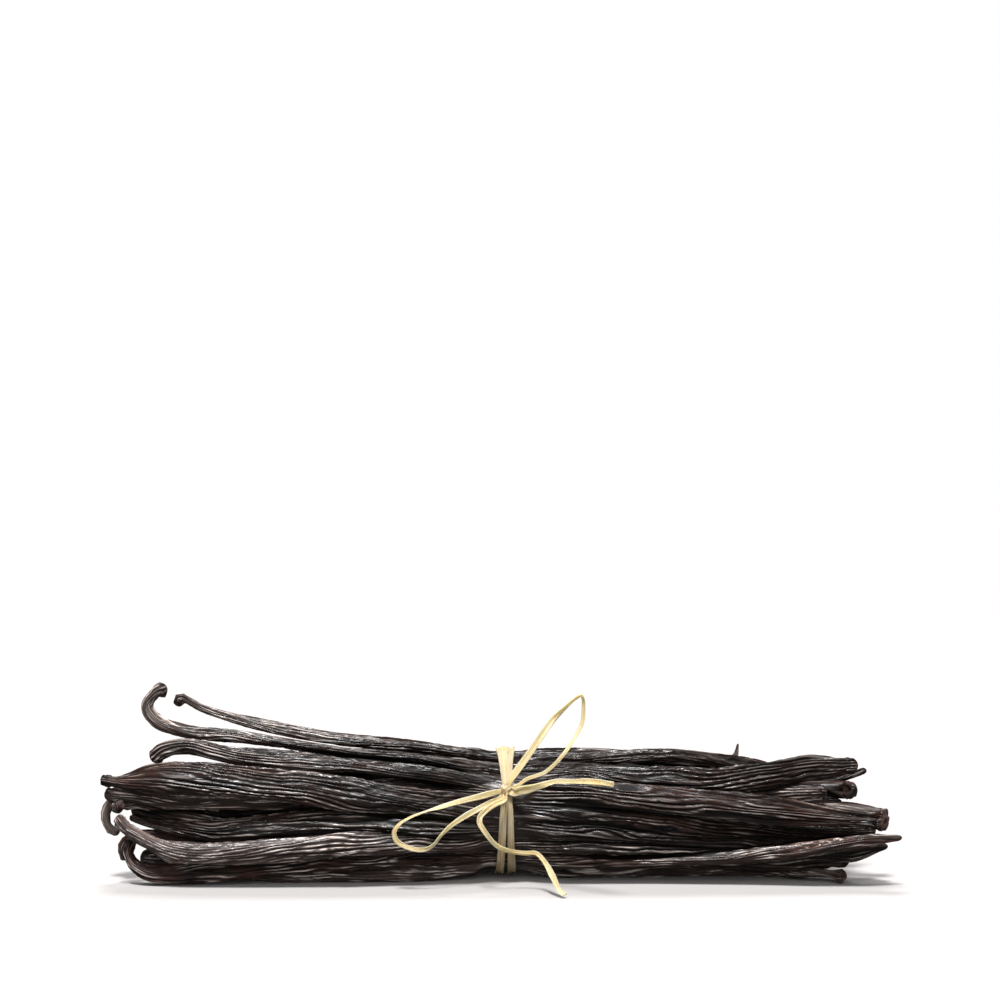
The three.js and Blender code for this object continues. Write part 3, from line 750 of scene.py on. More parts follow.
def mesh_piece(name, node, points, faces, material, attributes):
    """A smooth mesh object at the origin, from places in millimetres before centring, which
    stands in for the node."""
    quads, triangles = faces
    mesh = bpy.data.meshes.new(name)
    corners = np.concatenate([np.ravel(quads), np.ravel(triangles)]).astype(np.int32)
    counts = np.concatenate([np.full(len(quads), 4), np.full(len(triangles), 3)])
    mesh.vertices.add(len(points))
    mesh.vertices.foreach_set("co", np.ravel((points + CENTRING) * MM))
    mesh.loops.add(len(corners))
    mesh.loops.foreach_set("vertex_index", corners)
    mesh.polygons.add(len(counts))
    mesh.polygons.foreach_set("loop_start", np.concatenate([[0], np.cumsum(counts)[:-1]]))
    mesh.polygons.foreach_set("use_smooth", np.ones(len(counts), dtype=bool))
    for label, values in attributes.items():
        kind, field = ("FLOAT_VECTOR", "vector") if values.ndim == 2 else ("FLOAT", "value")
        mesh.attributes.new(label, kind, "POINT").data.foreach_set(field, np.ravel(values))
    mesh.update(calc_edges=True)
    mesh.validate()
    mesh.materials.append(material)
    piece = bpy.data.objects.new(name, mesh)
    bpy.context.scene.collection.objects.link(piece)
    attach(piece, BODY)
    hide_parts(node)
    return piece


# ---------------------------------------------------------------- the tie's outline


def tie_outline(turn):
    """Depth and height, in shares of the tie's half depth and half height, at a turn round
    the bundle: 0 at the front, a quarter turn on top. An ellipse, whose lower half is
    fuller because the bundle sags: (|cos|^0.75, |sin|^0.85)."""
    sags = np.sin(turn) < 0
    depth_power = np.where(sags, SAG_DEPTH_POWER, 1.0)
    height_power = np.where(sags, SAG_HEIGHT_POWER, 1.0)
    deep = -np.sign(np.cos(turn)) * np.abs(np.cos(turn)) ** depth_power
    high = np.sign(np.sin(turn)) * np.abs(np.sin(turn)) ** height_power
    return deep, high


def pull_into_tie(points):
    """Draws in what stands out of the tie's outline near the tie. With r the place's share
    of the way out to the outline, r over the limit becomes the limit, and beside the tie
    the limit grows with the square of the distance from it."""
    deep = points[..., 1] / TIE_HALF_DEPTH
    high = (points[..., 2] - TIE_CENTRE_Z) / TIE_HALF_HEIGHT
    round_share = np.hypot(deep, high)
    sagged = np.abs(deep) ** (2 / SAG_DEPTH_POWER) + np.abs(high) ** (2 / SAG_HEIGHT_POWER)
    share = np.where(high < 0, sagged**SAGGED_SHARE_POWER, round_share)
    away = np.maximum(np.abs(points[..., 0] - TIE_X) - PULL_HALF_WIDTH, 0) / PULL_FADE
    limit = PULL_SHARE + away**2
    factor = np.where(share > limit, limit / np.maximum(share, 1e-6), 1.0)
    pulled = points.copy()
    pulled[..., 1] *= factor
    pulled[..., 2] = TIE_CENTRE_Z + (points[..., 2] - TIE_CENTRE_Z) * factor
    return pulled


# ---------------------------------------------------------------- pods


def end_cap(style, distance):
    """How wide the rounded end is at a distance from its pole: sqrt(1 - (1 - d)^2), where d
    is the distance over the end's reach, and 1 beyond it."""
    away = 1 - np.clip(distance / ENDS[style]["reach"], 0, 1)
    return np.sqrt(1 - away * away)


def end_fullness(style, distance):
    """How full a pod is at a distance from an end, and the radius of its neck there. It
    fills from 0 to 1 by smoothstep, a stalk's knob is a bell on its neck, and the very
    end closes as a quarter of an ellipse."""
    end = ENDS[style]
    knob = end["knob"] * bell((distance - KNOB_FROM_END) / KNOB_SPREAD)
    full = smoothstep((distance - end["bare"]) / end["flare"])
    return full, (end["neck"] + knob) * end_cap(style, distance)


def pod_fullness(pod, distance, total):
    """How full a pod is at the distances along it, as the product of how full both ends
    leave it, and the radius of the nearer end's neck."""
    left_full, left_neck = end_fullness(pod["ends"][0], distance)
    right_full, right_neck = end_fullness(pod["ends"][1], total - distance)
    return left_full * right_full, np.where(distance < total / 2, left_neck, right_neck)


def end_marks(pod, distance, total):
    """For each ring of a pod: how far it is a scar, how far it sinks into the scar's hollow
    (below 0 at the right end), how far it is crinkled and how far it is browned. Each falls
    off from a scarred or rough end as a bell or a smoothstep."""
    scar, sunk, crinkled, brown = np.zeros((4, len(distance)))
    for end, away, inward in zip(pod["ends"], (distance, total - distance), (1, -1)):
        if end in SCARRED_ENDS:
            # This hollow is painted dark as shade as well, by cutting the relief in pod_piece.
            hollow = np.where(away < ENDS[end]["reach"], bell(end_cap(end, away) / 0.45), 0)
            sunk += inward * hollow
            scar = np.maximum(scar, (1 - smoothstep((away - 0.3) / 0.5)) * (1 - hollow))
        if end not in SMOOTH_ENDS:
            crinkled = np.maximum(crinkled, bell((away - 1.5) / 3.5))
            brown = np.maximum(brown, bell(away / 3))
    return scar, sunk, crinkled, brown


def pod_stations(total, ends, rings):
    """Distances of a pod's rings from its left end: close together, by the cosine of equal
    angles, where an end rounds off, and even between."""
    angles = np.linspace(0, np.pi / 2, CAP_RINGS + 2)[1:-1]
    left = ENDS[ends[0]]["reach"] * (1 - np.cos(angles))
    right = total - ENDS[ends[1]]["reach"] * (1 - np.cos(angles[::-1]))
    first, last = ENDS[ends[0]]["reach"], total - ENDS[ends[1]]["reach"]
    return np.concatenate([left, np.linspace(first, last, rings - 2 * len(angles)), right])


def section_turns(pod, sides, facing):
    """Turns of the points round a pod's ellipse, and each one's share of the way round its
    edge. They are spaced evenly along the edge, 2.5 times closer within 110 degrees of the
    side that faces out of the bundle."""
    turn = np.linspace(0, 2 * np.pi, EDGE_SAMPLES)
    edge = np.stack([pod["size"][0] * np.cos(turn), pod["size"][1] * np.sin(turn)], axis=-1)
    steps = np.linalg.norm(np.diff(edge, axis=0), axis=1)
    middle = (turn[1:] + turn[:-1]) / 2
    away = np.abs(np.angle(np.exp(1j * (middle - facing))))
    closeness = np.where(away < FACING_HALF_TURN, 1.0, HIDDEN_CLOSENESS)
    share = np.concatenate([[0], np.cumsum(steps)]) / steps.sum()
    weighed = np.concatenate([[0], np.cumsum(steps * closeness)])
    chosen = np.interp(np.arange(sides) / sides * weighed[-1], weighed, turn)
    return chosen, np.interp(chosen, turn, share)


def outward_turn(place, across, over, roll):
    """The turn of the side that faces out of the bundle, half way along a pod."""
    half = len(place) // 2
    outward = place[half] * (0, 1, 1) - (0, 0, TIE_CENTRE_Z)
    return np.arctan2(outward @ over[half], outward @ across[half]) - roll[half, 0]


def off_line(wide, deep, roll, across, over):
    """The step from a pod's middle line that (wide, deep) is in its section, turned by the
    roll: across * (w cos r - d sin r) + over * (w sin r + d cos r)."""
    sideways = wide * np.cos(roll) - deep * np.sin(roll)
    upward = wide * np.sin(roll) + deep * np.cos(roll)
    return sideways[..., None] * across[:, None] + upward[..., None] * over[:, None]


def folded(phase):
    """Rounded ridges, one for each whole step of phase, with sharp valleys between them:
    |sin(pi phase)|, from 0 in a valley to 1 on a ridge."""
    return np.abs(np.sin(np.pi * phase))


def on_cylinder(radius, turn, distance):
    """The place at a turn and a distance on a straight cylinder of the radius."""
    return np.stack([radius * np.cos(turn), radius * np.sin(turn), distance], axis=-1)


def skin_relief(turn, distance, radius, bend, crinkled, settings, seed):
    """The skin's height in millimetres, its relief from 0 in a valley to 1 on a ridge, its
    crests from 0 to 1, and its place on a cylinder of the radius.

    Round the pod the skin folds into ridges a spacing apart, which wander, part and meet, because
    a noise drawn out along the pod shifts their phase. A second, finer set of folds lies over
    them, and in patches thin creases run slantwise, along a helix. Broad furrows are bells round a
    turn that wanders along the pod, and short folds cross the inner side of a bend. Near a rough
    end the skin is crinkled as well. The relief is low in the valleys, folds, slanting creases and
    crinkles, which the material paints darker as painted shade. The crests are painted highlights
    on the sharpest ridges, broken into beads along the pod.
    """
    rng = np.random.default_rng(seed)
    lean = turn + rng.uniform(-MOST_LEAN, MOST_LEAN) * distance
    lean = lean + wavering("pod_lean", distance, seed)
    rolled = on_cylinder(radius, lean, distance)

    def uneven(label, place=rolled, stretch=1.0):
        reach_round, reach_along, number = SKIN_NOISES[label]
        return noise(place / (reach_round, reach_round, reach_along * stretch), seed + number)

    wander = uneven("wander", stretch=settings.crease_stretch)
    fine_wander = uneven("fine_wander", stretch=settings.crease_stretch)
    drift, kinks = uneven("drift"), uneven("kinks")
    # The phase counts ridges round the pod, and the noises shift it by parts of a ridge.
    turns = round(2 * np.pi * radius / (settings.crease_spacing / MM)) * lean / (2 * np.pi)
    broad = folded(turns + 0.85 * wander + 0.9 * drift + 0.22 * kinks)
    fine = folded(2 * turns + 1.4 * fine_wander + 0.7 * drift + 0.3 * kinks)
    strength = np.clip(0.85 + 0.6 * uneven("strength"), 0.2, 1.3)
    crinkles = uneven("crinkles")

    helix = turn + rng.choice((-HELIX_SLOPE, HELIX_SLOPE)) * distance
    oblique = bell(uneven("slanting", on_cylinder(radius, helix, distance)) / 0.14)
    oblique = oblique * smoothstep(0.4 + 1.6 * uneven("slant_patches"))
    furrows = 0
    for side in range(FURROWS):
        centre = rng.uniform(0, 2 * np.pi) + wavering("furrow_turn", distance, seed + side)
        gap = np.angle(np.exp(1j * (turn - centre)))
        depth = smoothstep(0.5 + wavering("furrow_depth", distance, seed + side))
        furrows = furrows + depth * bell(gap / np.where(gap > 0, 0.5, 0.16))

    folds = bend * bell(uneven("folds") / 0.22)
    ridge_height = settings.ridge_height / MM
    height = (
        ridge_height * strength * (broad - 0.6)
        + FINE_SHARE * ridge_height * (fine - 0.6)
        - settings.furrow_depth / MM * furrows
        - FOLD_DEPTH * folds
        - SLANT_DEPTH * oblique
        + LUMP_HEIGHT * uneven("lumps")
        + CRINKLE_HEIGHT * crinkled * crinkles
    )
    # Painted shade: valleys, folds, slanting creases and the crinkles' hollows lower the relief,
    # and the material paints the skin darker there.
    valley = 1 - smoothstep(broad / 0.7)
    fine_valley = 0.7 * (1 - smoothstep(fine / 0.6))
    dark = np.maximum(valley * (0.4 + 0.6 * strength), fine_valley)
    dark = np.maximum(dark, np.maximum(0.8 * folds, 0.75 * oblique))
    dark = np.maximum(dark, crinkled * bell((crinkles + 0.35) / 0.3))
    # Painted highlights: the sharpest crests, broken into beads along the pod.
    sharp = smoothstep((broad - 0.78) / 0.22) * (0.3 + 0.7 * smoothstep((fine - 0.4) / 0.5))
    beads = smoothstep(0.3 + 1.1 * uneven("beads") + 0.6 * (strength - 0.7))
    return height, 1 - np.clip(dark, 0, 1), sharp * beads * (1 - 0.8 * oblique), rolled


def section_table(pod):
    """A pod's middle line and section where it runs on to the right: rows of x, y, z, half
    width, half thickness and roll in radians."""
    line, lengths = measured_curve(pod["route"], TABLE_SAMPLES)
    total = lengths[-1]
    onward = np.maximum.accumulate(line[:, 0])
    runs_on = (line[:, 0] >= onward) & (lengths > TABLE_INSET) & (lengths < total - TABLE_INSET)
    full, neck = pod_fullness(pod, lengths, total)
    half_width, half_thick = (neck + (size / 2 - neck) * full for size in pod["size"])
    roll = np.radians(np.interp(lengths, (0, total), pod["roll"]))
    return np.column_stack([line, half_width, half_thick, roll])[runs_on]


def crevices(name, skin, tables):
    """How deep each place of a pod lies in the crevices beside its neighbours, from 0 to 1.
    At a place (u, v) in a neighbour's section, q is the ellipse's own distance
    hypot(u / half width, v / half thickness) and the gap hypot(u, v) * (1 - 1 / q)."""
    gap = np.full(skin.shape[:-1], FAR)
    x = skin[..., 0]
    for other, table in tables.items():
        if other == name:
            continue
        y, z, half_width, half_thick, roll = (
            np.interp(x, table[:, 0], table[:, k]) for k in range(1, 6)
        )
        away_y, away_z = skin[..., 1] - y, skin[..., 2] - z
        u = away_y * np.cos(roll) + away_z * np.sin(roll)
        v = away_z * np.cos(roll) - away_y * np.sin(roll)
        inside = np.hypot(u / half_width, v / half_thick)
        clear = np.hypot(u, v) * (1 - 1 / np.maximum(inside, 0.05))
        beyond = np.maximum(table[0, 0] - x, x - table[-1, 0])
        gap = np.minimum(gap, np.where(beyond > 0, FAR, clear))
    tied = smoothstep((np.abs(x - TIE_X) - TIED_HALF_WIDTH) / TIED_FADE)
    return tied * (1 - smoothstep(gap / CREVICE_REACH))


def three_stage(values, share):
    """Blends three values by share: the first at 0, the second at 0.5, the third at 1."""
    return np.interp(share, (0.0, 0.5, 1.0), values)


def pod_piece(pod, grid, settings, material, seed, tables):
    """One pod. At a distance s along its middle line and a turn a round it, the skin is at
    line(s) + across(s) * wide + over(s) * deep, where (wide, deep) is an ellipse with the
    half width and half thickness there, rolled by the pod's roll, and moved along the
    ellipse's normal by the skin's height."""
    sides, rings = grid
    line, lengths = measured_curve(pod["route"])
    total = lengths[-1]
    distance = pod_stations(total, pod["ends"], rings)
    place, along = at_distance(line, lengths, distance)
    across = unit(np.array([0.0, 1.0, 0.0]) - along[:, 1:2] * along)
    over = np.cross(along, across)
    scar, sunk, crinkled, brown = end_marks(pod, distance, total)
    place = place + SCAR_DEPTH * sunk[:, None] * along

    full, neck = pod_fullness(pod, distance, total)
    full = full * (1 - TIE_SQUEEZE * bell((place[:, 0] - TIE_X) / SQUEEZE_REACH))
    half_width, half_thick = (
        neck + (size / 2 * (1 + wavering(label, distance, seed)) - neck) * full
        for size, label in zip(pod["size"], ("pod_width", "pod_thickness"))
    )
    twist = wavering("pod_twist", distance, seed)
    roll = np.radians(np.interp(distance, (0, total), pod["roll"]) + twist)[:, None]
    turn, edge_share = section_turns(pod, sides, outward_turn(place, across, over, roll))
    cos_turn, sin_turn = np.cos(turn)[None, :], np.sin(turn)[None, :]

    shift = np.gradient(along, distance, axis=0)
    outward = off_line(cos_turn, sin_turn, roll, across, over)
    inside = np.clip(np.einsum("rsk,rk->rs", outward, unit(shift)), 0, 1)
    sharpness = np.linalg.norm(shift, axis=1)[:, None]
    bend = smoothstep((sharpness - 0.03) / 0.1) * inside
    height, relief, crest_highlight, rolled = skin_relief(
        np.broadcast_to(2 * np.pi * edge_share[None, :], bend.shape),
        np.broadcast_to(distance[:, None], bend.shape),
        sum(pod["size"]) / 4, bend, crinkled[:, None], settings, seed,
    )
    slim = np.minimum(half_width + half_thick, SLIM)[:, None] / SLIM

    normal_wide, normal_deep = half_thick[:, None] * cos_turn, half_width[:, None] * sin_turn
    size = np.maximum(np.hypot(normal_wide, normal_deep), 1e-6)
    normal_wide, normal_deep = normal_wide / size, normal_deep / size
    wide = half_width[:, None] * cos_turn + height * slim * normal_wide
    deep = half_thick[:, None] * sin_turn + height * slim * normal_deep
    skin = place[:, None] + off_line(wide, deep, roll, across, over)
    # How deep the skin lies among its neighbours: it sinks there, and it is darkened there as
    # painted shade.
    crevice_sink_and_shade = crevices(pod["name"], skin, tables)
    normal = off_line(normal_wide, normal_deep, roll, across, over)
    skin = pull_into_tie(skin - CREVICE_DEPTH * (crevice_sink_and_shade * slim)[..., None] * normal)
    skin[..., 2] = np.maximum(skin[..., 2], POD_FLOOR_GAP)

    # Painted shade: the relief is cut in the crevices beside neighbours and in a scar's hollow,
    # which darkens the skin there.
    relief = relief * (1 - np.abs(sunk))[:, None] * (1 - 0.8 * crevice_sink_and_shade)
    poles = line[[0, -1]] + SCAR_DEPTH * np.round(sunk[[0, -1], None]) * along[[0, -1]]
    share = distance / total
    per_ring = {
        "grey": (three_stage(pod["grey"], share) + 0.25 * crinkled) * (1 - 0.6 * brown),
        "rust": three_stage(pod["rust"], share) + 0.35 * brown,
        "scar": scar,
    }
    attributes = {
        "pod_space": with_poles(rolled[0, 0], rolled, rolled[-1, 0]) * MM,
        "relief": with_poles(1, relief, 1),
        # The painted crest highlights are taken out in the crevices.
        "crest_highlight": with_poles(0, crest_highlight * (1 - crevice_sink_and_shade), 0),
    }
    for label, values in per_ring.items():
        attributes[label] = with_poles(values[0], np.repeat(values, sides), values[-1])
    return mesh_piece(
        pod["name"], POD_NODE, with_poles(poles[0], skin, poles[1]),
        tube_faces(rings, sides), material, attributes,
    )


def core_piece(settings, material, seed):
    """The inside of the bundle, which shows only between pods: a tube of elliptical rings
    whose middle, half depth and half height are blended along the core's rows. Its skin
    bulges in lobes like pods, |sin| of the turn shifted by a noise drawn out along it, and
    has the creases of a pod's skin."""
    sides, rings = CORE_GRID
    x = np.linspace(CORE[0, 0], CORE[-1, 0], rings)[:, None]
    y, z, depth, height = (np.interp(x, CORE[:, 0], CORE[:, k]) for k in range(1, 5))
    turn = np.linspace(0, 2 * np.pi, sides, endpoint=False)[None, :] + 0 * x
    x = x + 0 * turn
    folds, relief, crest_highlight, rolled = skin_relief(
        turn, x - CORE[0, 0], CORE_RADIUS, 0, 0, settings, seed
    )
    shift = noise(rolled / (4.0, 4.0, 40.0), seed + 40)
    lobes = folded(CORE_LOBES * turn / (2 * np.pi) + 0.7 * shift)
    swell = 1 - CORE_LOBE_DEPTH * (1 - lobes) + CORE_SWELL * folds
    skin = np.stack(
        [x, y - depth * np.cos(turn) * swell, z + height * np.sin(turn) * swell], axis=-1
    )
    points = closed_by_middles(skin)
    # Painted shade: the core's relief is cut throughout, and most between its lobes.
    relief = CORE_PAINTED_SHADE * relief * smoothstep(lobes / 0.7)
    plain = np.zeros(len(points))
    attributes = {
        "pod_space": with_poles(rolled[0, 0], rolled, rolled[-1, 0]) * MM,
        "relief": with_poles(0, relief, 0),
        "crest_highlight": with_poles(0, crest_highlight * relief, 0),
        "grey": plain,
        "rust": plain + 0.2,
        "scar": plain,
    }
    return mesh_piece(
        "bundle_core", POD_NODE, points, inside_out(tube_faces(rings, sides)),
        material, attributes,
    )


def ruled_pod(name, angle, ring, draws):
    """A pod that lies by rule: it passes the tie at an angle on a ring, its wide side along
    the ring, and fans out to both ends, where it sags but lies no lower than the floor."""
    deep, high = (float(value) for value in tie_outline(np.radians(float(angle))))
    tie_y = (TIE_HALF_DEPTH - RING_INSET) * ring * deep
    tie_z = TIE_CENTRE_Z + (TIE_HALF_HEIGHT - RING_INSET) * ring * high
    size = [value + draws.uneven(spread) for value, spread in zip(RULE_SIZE, RULE_SIZE_SPREAD)]
    lowest = size[1] / 2 - TABLE_PRESS

    def place(x, fan, spread):
        z = TIE_CENTRE_Z + (tie_z - TIE_CENTRE_Z) * fan - FAN_SAG * (fan - 1)
        z += draws.uneven(spread)
        y = tie_y * fan + draws.uneven(spread)
        highest = tie_z + 1 + (HIGHEST_END - tie_z - 1) * abs(x) / REACH_LEFT
        return (x, y, min(max(z, lowest), max(lowest, highest)))

    def hook(x, end):
        return (
            x + draws.uneven(HOOK_SPREAD[0]),
            end[1] + draws.uneven(HOOK_SPREAD[1]),
            min(max(end[2] + draws.uneven(HOOK_SPREAD[2]), lowest), HIGHEST_END),
        )

    left = -REACH_LEFT + draws.uneven(REACH_SPREAD)
    right = REACH_RIGHT + draws.uneven(REACH_SPREAD)
    left_end = place(left + HOOK_RUN, FAN_OUT, END_SPREAD)
    right_end = place(right - HOOK_RUN, FAN_OUT, END_SPREAD)
    tip = hook(left, left_end)
    butt = hook(right, right_end)
    roll = [90 - angle + draws.uneven(ROLL_SPREAD) for _ in range(2)]
    ends = ("stalk", "tip") if draws.share() < 0.5 else ("tip", "blunt")
    left_body = place(FAN_AT_LEFT, HALF_FAN, BODY_SPREAD)
    right_body = place(FAN_AT_RIGHT, HALF_FAN, BODY_SPREAD)
    route = [tip, left_end, left_body, (TIE_X, tie_y, tie_z), right_body, right_end, butt]
    tones = np.random.default_rng(RULE_TONE_SEED + angle)
    grey, rust = (tones.uniform(0.0, RULE_MOST_TONE, 3) for _ in range(2))
    return dict(name=name, size=size, roll=roll, ends=ends, grey=grey, rust=rust, route=route)


def ruled_pods():
    """The pods at the back and then those inside, in the order of their random draws."""
    draws = Draws(RULE_SEED)
    back = [ruled_pod(f"pod_back_{a}", a, 1.0, draws) for a in BACK_ANGLES]
    inner = [ruled_pod(f"pod_core_{a}", a, INNER_RING, draws) for a in INNER_ANGLES]
    return back, inner


def section_tables():
    """Every pod's section table, by the pod's name."""
    back, inner = ruled_pods()
    pods = (*PLACED_PODS, *INSIDE_PODS, *back, *inner)
    return {pod["name"]: section_table(pod) for pod in pods}


# ---------------------------------------------------------------- raffia


def straw_section(points_across):
    """A flat closed outline: u runs from -1 to 1 over the face and back under it, and side
    is 1 on the face and -1 under it."""
    u = np.linspace(-1, 1, points_across)
    return np.concatenate([u, u[::-1]]), np.concatenate([np.ones_like(u), -np.ones_like(u)])


def straw_relief(u, side, distance, half_width, thickness, seed):
    """Height of the straw's two faces over its middle plane: half the thickness, thinner
    towards the edges by u^4, one fold |u - a| whose place a wanders across it and whose depth
    wavers along it, and fibres and pleats as noise drawn out along it."""
    zero = 0 * distance

    def grain(spot, level, number):
        place = np.stack([u * half_width / spot[0], distance / spot[1], zero + level], axis=-1)
        return noise(place, seed + number)

    fold = np.abs(u - wavering("straw_fold", distance, seed))
    curl = 0.6 + wavering("straw_curl", distance, seed)
    body = side * thickness / 2 * (1 - EDGE_THINNING * u**4)
    fibres = FIBRE_HEIGHT * grain(FIBRE_SPOT, 3, 0)
    pleats = PLEAT_HEIGHT * np.abs(grain(PLEAT_SPOT, 7, 5))
    return body + half_width * curl * (fold - 0.5) + fibres + pleats


def straw_strip(distance, half_width, columns, settings, seed):
    """A straw's grid at the distances along it: how far each place is across it, its height
    over the middle plane, and its place on the straw laid flat, for the material."""
    u, side = straw_section(columns)
    u = np.broadcast_to(u[None, :], (len(distance), len(u)))
    along = np.broadcast_to(distance[:, None], u.shape)
    half = half_width[:, None]
    relief = straw_relief(u, side[None, :], along, half, settings.thickness / MM, seed)
    return u * half, relief, np.stack([u * half, side + 0 * u, along], axis=-1) * MM


def straw_piece(name, node, points, faces, space, material):
    """A piece of straw, whose material needs only each point's place on it laid flat."""
    attributes = {"straw_space": space}
    return mesh_piece(name, node, points, faces, material, attributes)


def strand_piece(name, settings, material, seed):
    """A free strand: a flat straw section carried along its route. Its face looks to the
    front, turned about the route by a twist that is blended along it and wavers."""
    widths, twists, far_end = STRAND_SHAPES[name]
    route = np.array(STRAND_ROUTES[name], dtype=float)
    first, last = (KNOT + INTO_KNOT * (end - KNOT) for end in route[[0, -1]])
    line, lengths = measured_curve([first, *route, *([last] if far_end == "object" else [])])
    total = lengths[-1]
    distance = np.linspace(0, total, int(total / STRAND_RING_STEP))
    place, along = at_distance(line, lengths, distance)
    front = unit(STRAND_FRONT - (along @ STRAND_FRONT)[:, None] * along)
    wide = np.cross(along, front)
    share = distance / total
    twist = three_stage(twists, share) + wavering("straw_twist", distance, seed)
    twist = np.radians(twist)[:, None]
    face = front * np.cos(twist) + wide * np.sin(twist)
    edge = wide * np.cos(twist) - front * np.sin(twist)

    half_width = three_stage(widths, share) * (1 + wavering("straw_width", distance, seed))
    across, lift, space = straw_strip(distance, half_width, STRAW_COLUMNS, settings, seed)
    skin = place[:, None] + across[..., None] * edge[:, None] + lift[..., None] * face[:, None]
    skin[..., 2] = np.maximum(skin[..., 2], STRAW_FLOOR_GAP)
    piece = straw_piece(
        name + "_straw", name, closed_by_middles(skin), tube_faces(*across.shape),
        with_poles(space[0, 0], space, space[-1, -1]), material,
    )
    line, lengths = measured_curve(STRAND_ROUTES[name])
    route = (np.vstack([line[::12], line[-1:]]) + CENTRING) * MM
    return piece


def turn_piece(name, settings, material, seed):
    """One turn of straw round the bundle: at a turn a and a place u across it, it lies at
    x = middle(a) + u * half width(a), at a lift over the tie's outline."""
    middles, half_widths, lift = TIE_TURNS[name]
    turn = np.linspace(-np.pi, np.pi, TURN_RINGS, endpoint=False)
    knot_turn = np.arcsin((KNOT[2] - TIE_CENTRE_Z) / TIE_HALF_HEIGHT)
    marks = (-np.pi, -np.pi / 2, 0.0, knot_turn, np.pi / 2, np.pi)
    middle, half_width = (
        np.interp(turn, marks, (row[-1], *row)) for row in (middles, half_widths)
    )
    across, relief, space = straw_strip(
        TURN_RADIUS * turn, half_width, STRAW_COLUMNS, settings, seed
    )
    high = lift + TURN_RELIEF * relief
    deep_share, high_share = tie_outline(turn[:, None])
    points = np.stack(
        [
            TIE_X + middle[:, None] + across,
            (TIE_HALF_DEPTH + high) * deep_share,
            TIE_CENTRE_Z + (TIE_HALF_HEIGHT + high) * high_share,
        ],
        axis=-1,
    ).reshape(-1, 3)
    points[:, 2] = np.maximum(points[:, 2], STRAW_FLOOR_GAP)
    faces = hoop_faces(*across.shape)
    return straw_piece(name, TIE_NODE, points, faces, space.reshape(-1, 3), material)


def wrap_piece(name, settings, material, seed):
    """One wrap of the knot: a closed hoop of straw on an ellipsoid round the knot, in the
    plane square to its axis."""
    radii, axis, half_width = KNOT_WRAPS[name]
    axis = unit(np.array(axis))
    first = unit(np.cross(axis, (0.3, 1.0, 0.2)))
    other = np.cross(axis, first)
    turn = np.linspace(0, 2 * np.pi, WRAP_RINGS, endpoint=False)
    outward = (np.cos(turn)[:, None] * first + np.sin(turn)[:, None] * other)[:, None]
    across, relief, space = straw_strip(
        WRAP_RADIUS * turn, np.full(WRAP_RINGS, half_width), WRAP_COLUMNS, settings, seed
    )
    bow = np.sqrt(np.clip(1 - np.square(WRAP_BOW * across), 0.2, 1))[..., None]
    lift = WRAP_RELIEF * relief[..., None]
    points = KNOT + outward * (np.array(radii) * bow + lift) + across[..., None] * axis
    faces = inside_out(hoop_faces(*across.shape))
    return straw_piece(
        name, TIE_NODE, points.reshape(-1, 3), faces, space.reshape(-1, 3), material
    )


# ---------------------------------------------------------------- materials

WHITE = (1, 1, 1, 1)
BUMP_DEPTH_M = 0.00006

# How much brighter the painted highlights on rusty crests are than the rust round them, and the
# creases' roughness.
RED_CREST_HIGHLIGHT_BRIGHTNESS = 3.5
CREASE_ROUGHNESS = 0.7


def add_node(tree, kind, sockets=None, **properties):
    """Adds a node, sets its properties, and sets or links its inputs by name or number."""
    made = tree.nodes.new(kind)
    for label, value in properties.items():
        setattr(made, label, value)
    for label, value in (sockets or {}).items():
        if isinstance(value, bpy.types.NodeSocket):
            tree.links.new(value, made.inputs[label])
        else:
            made.inputs[label].default_value = value
    return made


def add_math(tree, operation, first, second=0.0):
    """Works out one operation on two numbers, each a value or a socket."""
    return add_node(tree, "ShaderNodeMath", {0: first, 1: second}, operation=operation).outputs[0]


def add_mix(tree, factor, first, second, blend="MIX"):
    """Mixes two colours: the first at factor 0, the second at factor 1."""
    made = add_node(
        tree, "ShaderNodeMix", {0: factor, 6: first, 7: second}, data_type="RGBA", blend_type=blend
    )
    return made.outputs[2]


def add_attribute(tree, label, output="Fac"):
    """A value that the mesh holds at each of its points."""
    return add_node(tree, "ShaderNodeAttribute", attribute_name=label).outputs[output]


def add_bump(tree, height, strength, shader):
    """Fine relief in the shading of the shader's surface."""
    sockets = {"Strength": strength, "Distance": BUMP_DEPTH_M, "Height": height}
    bump = add_node(tree, "ShaderNodeBump", sockets)
    tree.links.new(bump.outputs["Normal"], shader.inputs["Normal"])


def opaque(colour):
    """The colour with an alpha of 1."""
    return (*colour, 1.0)


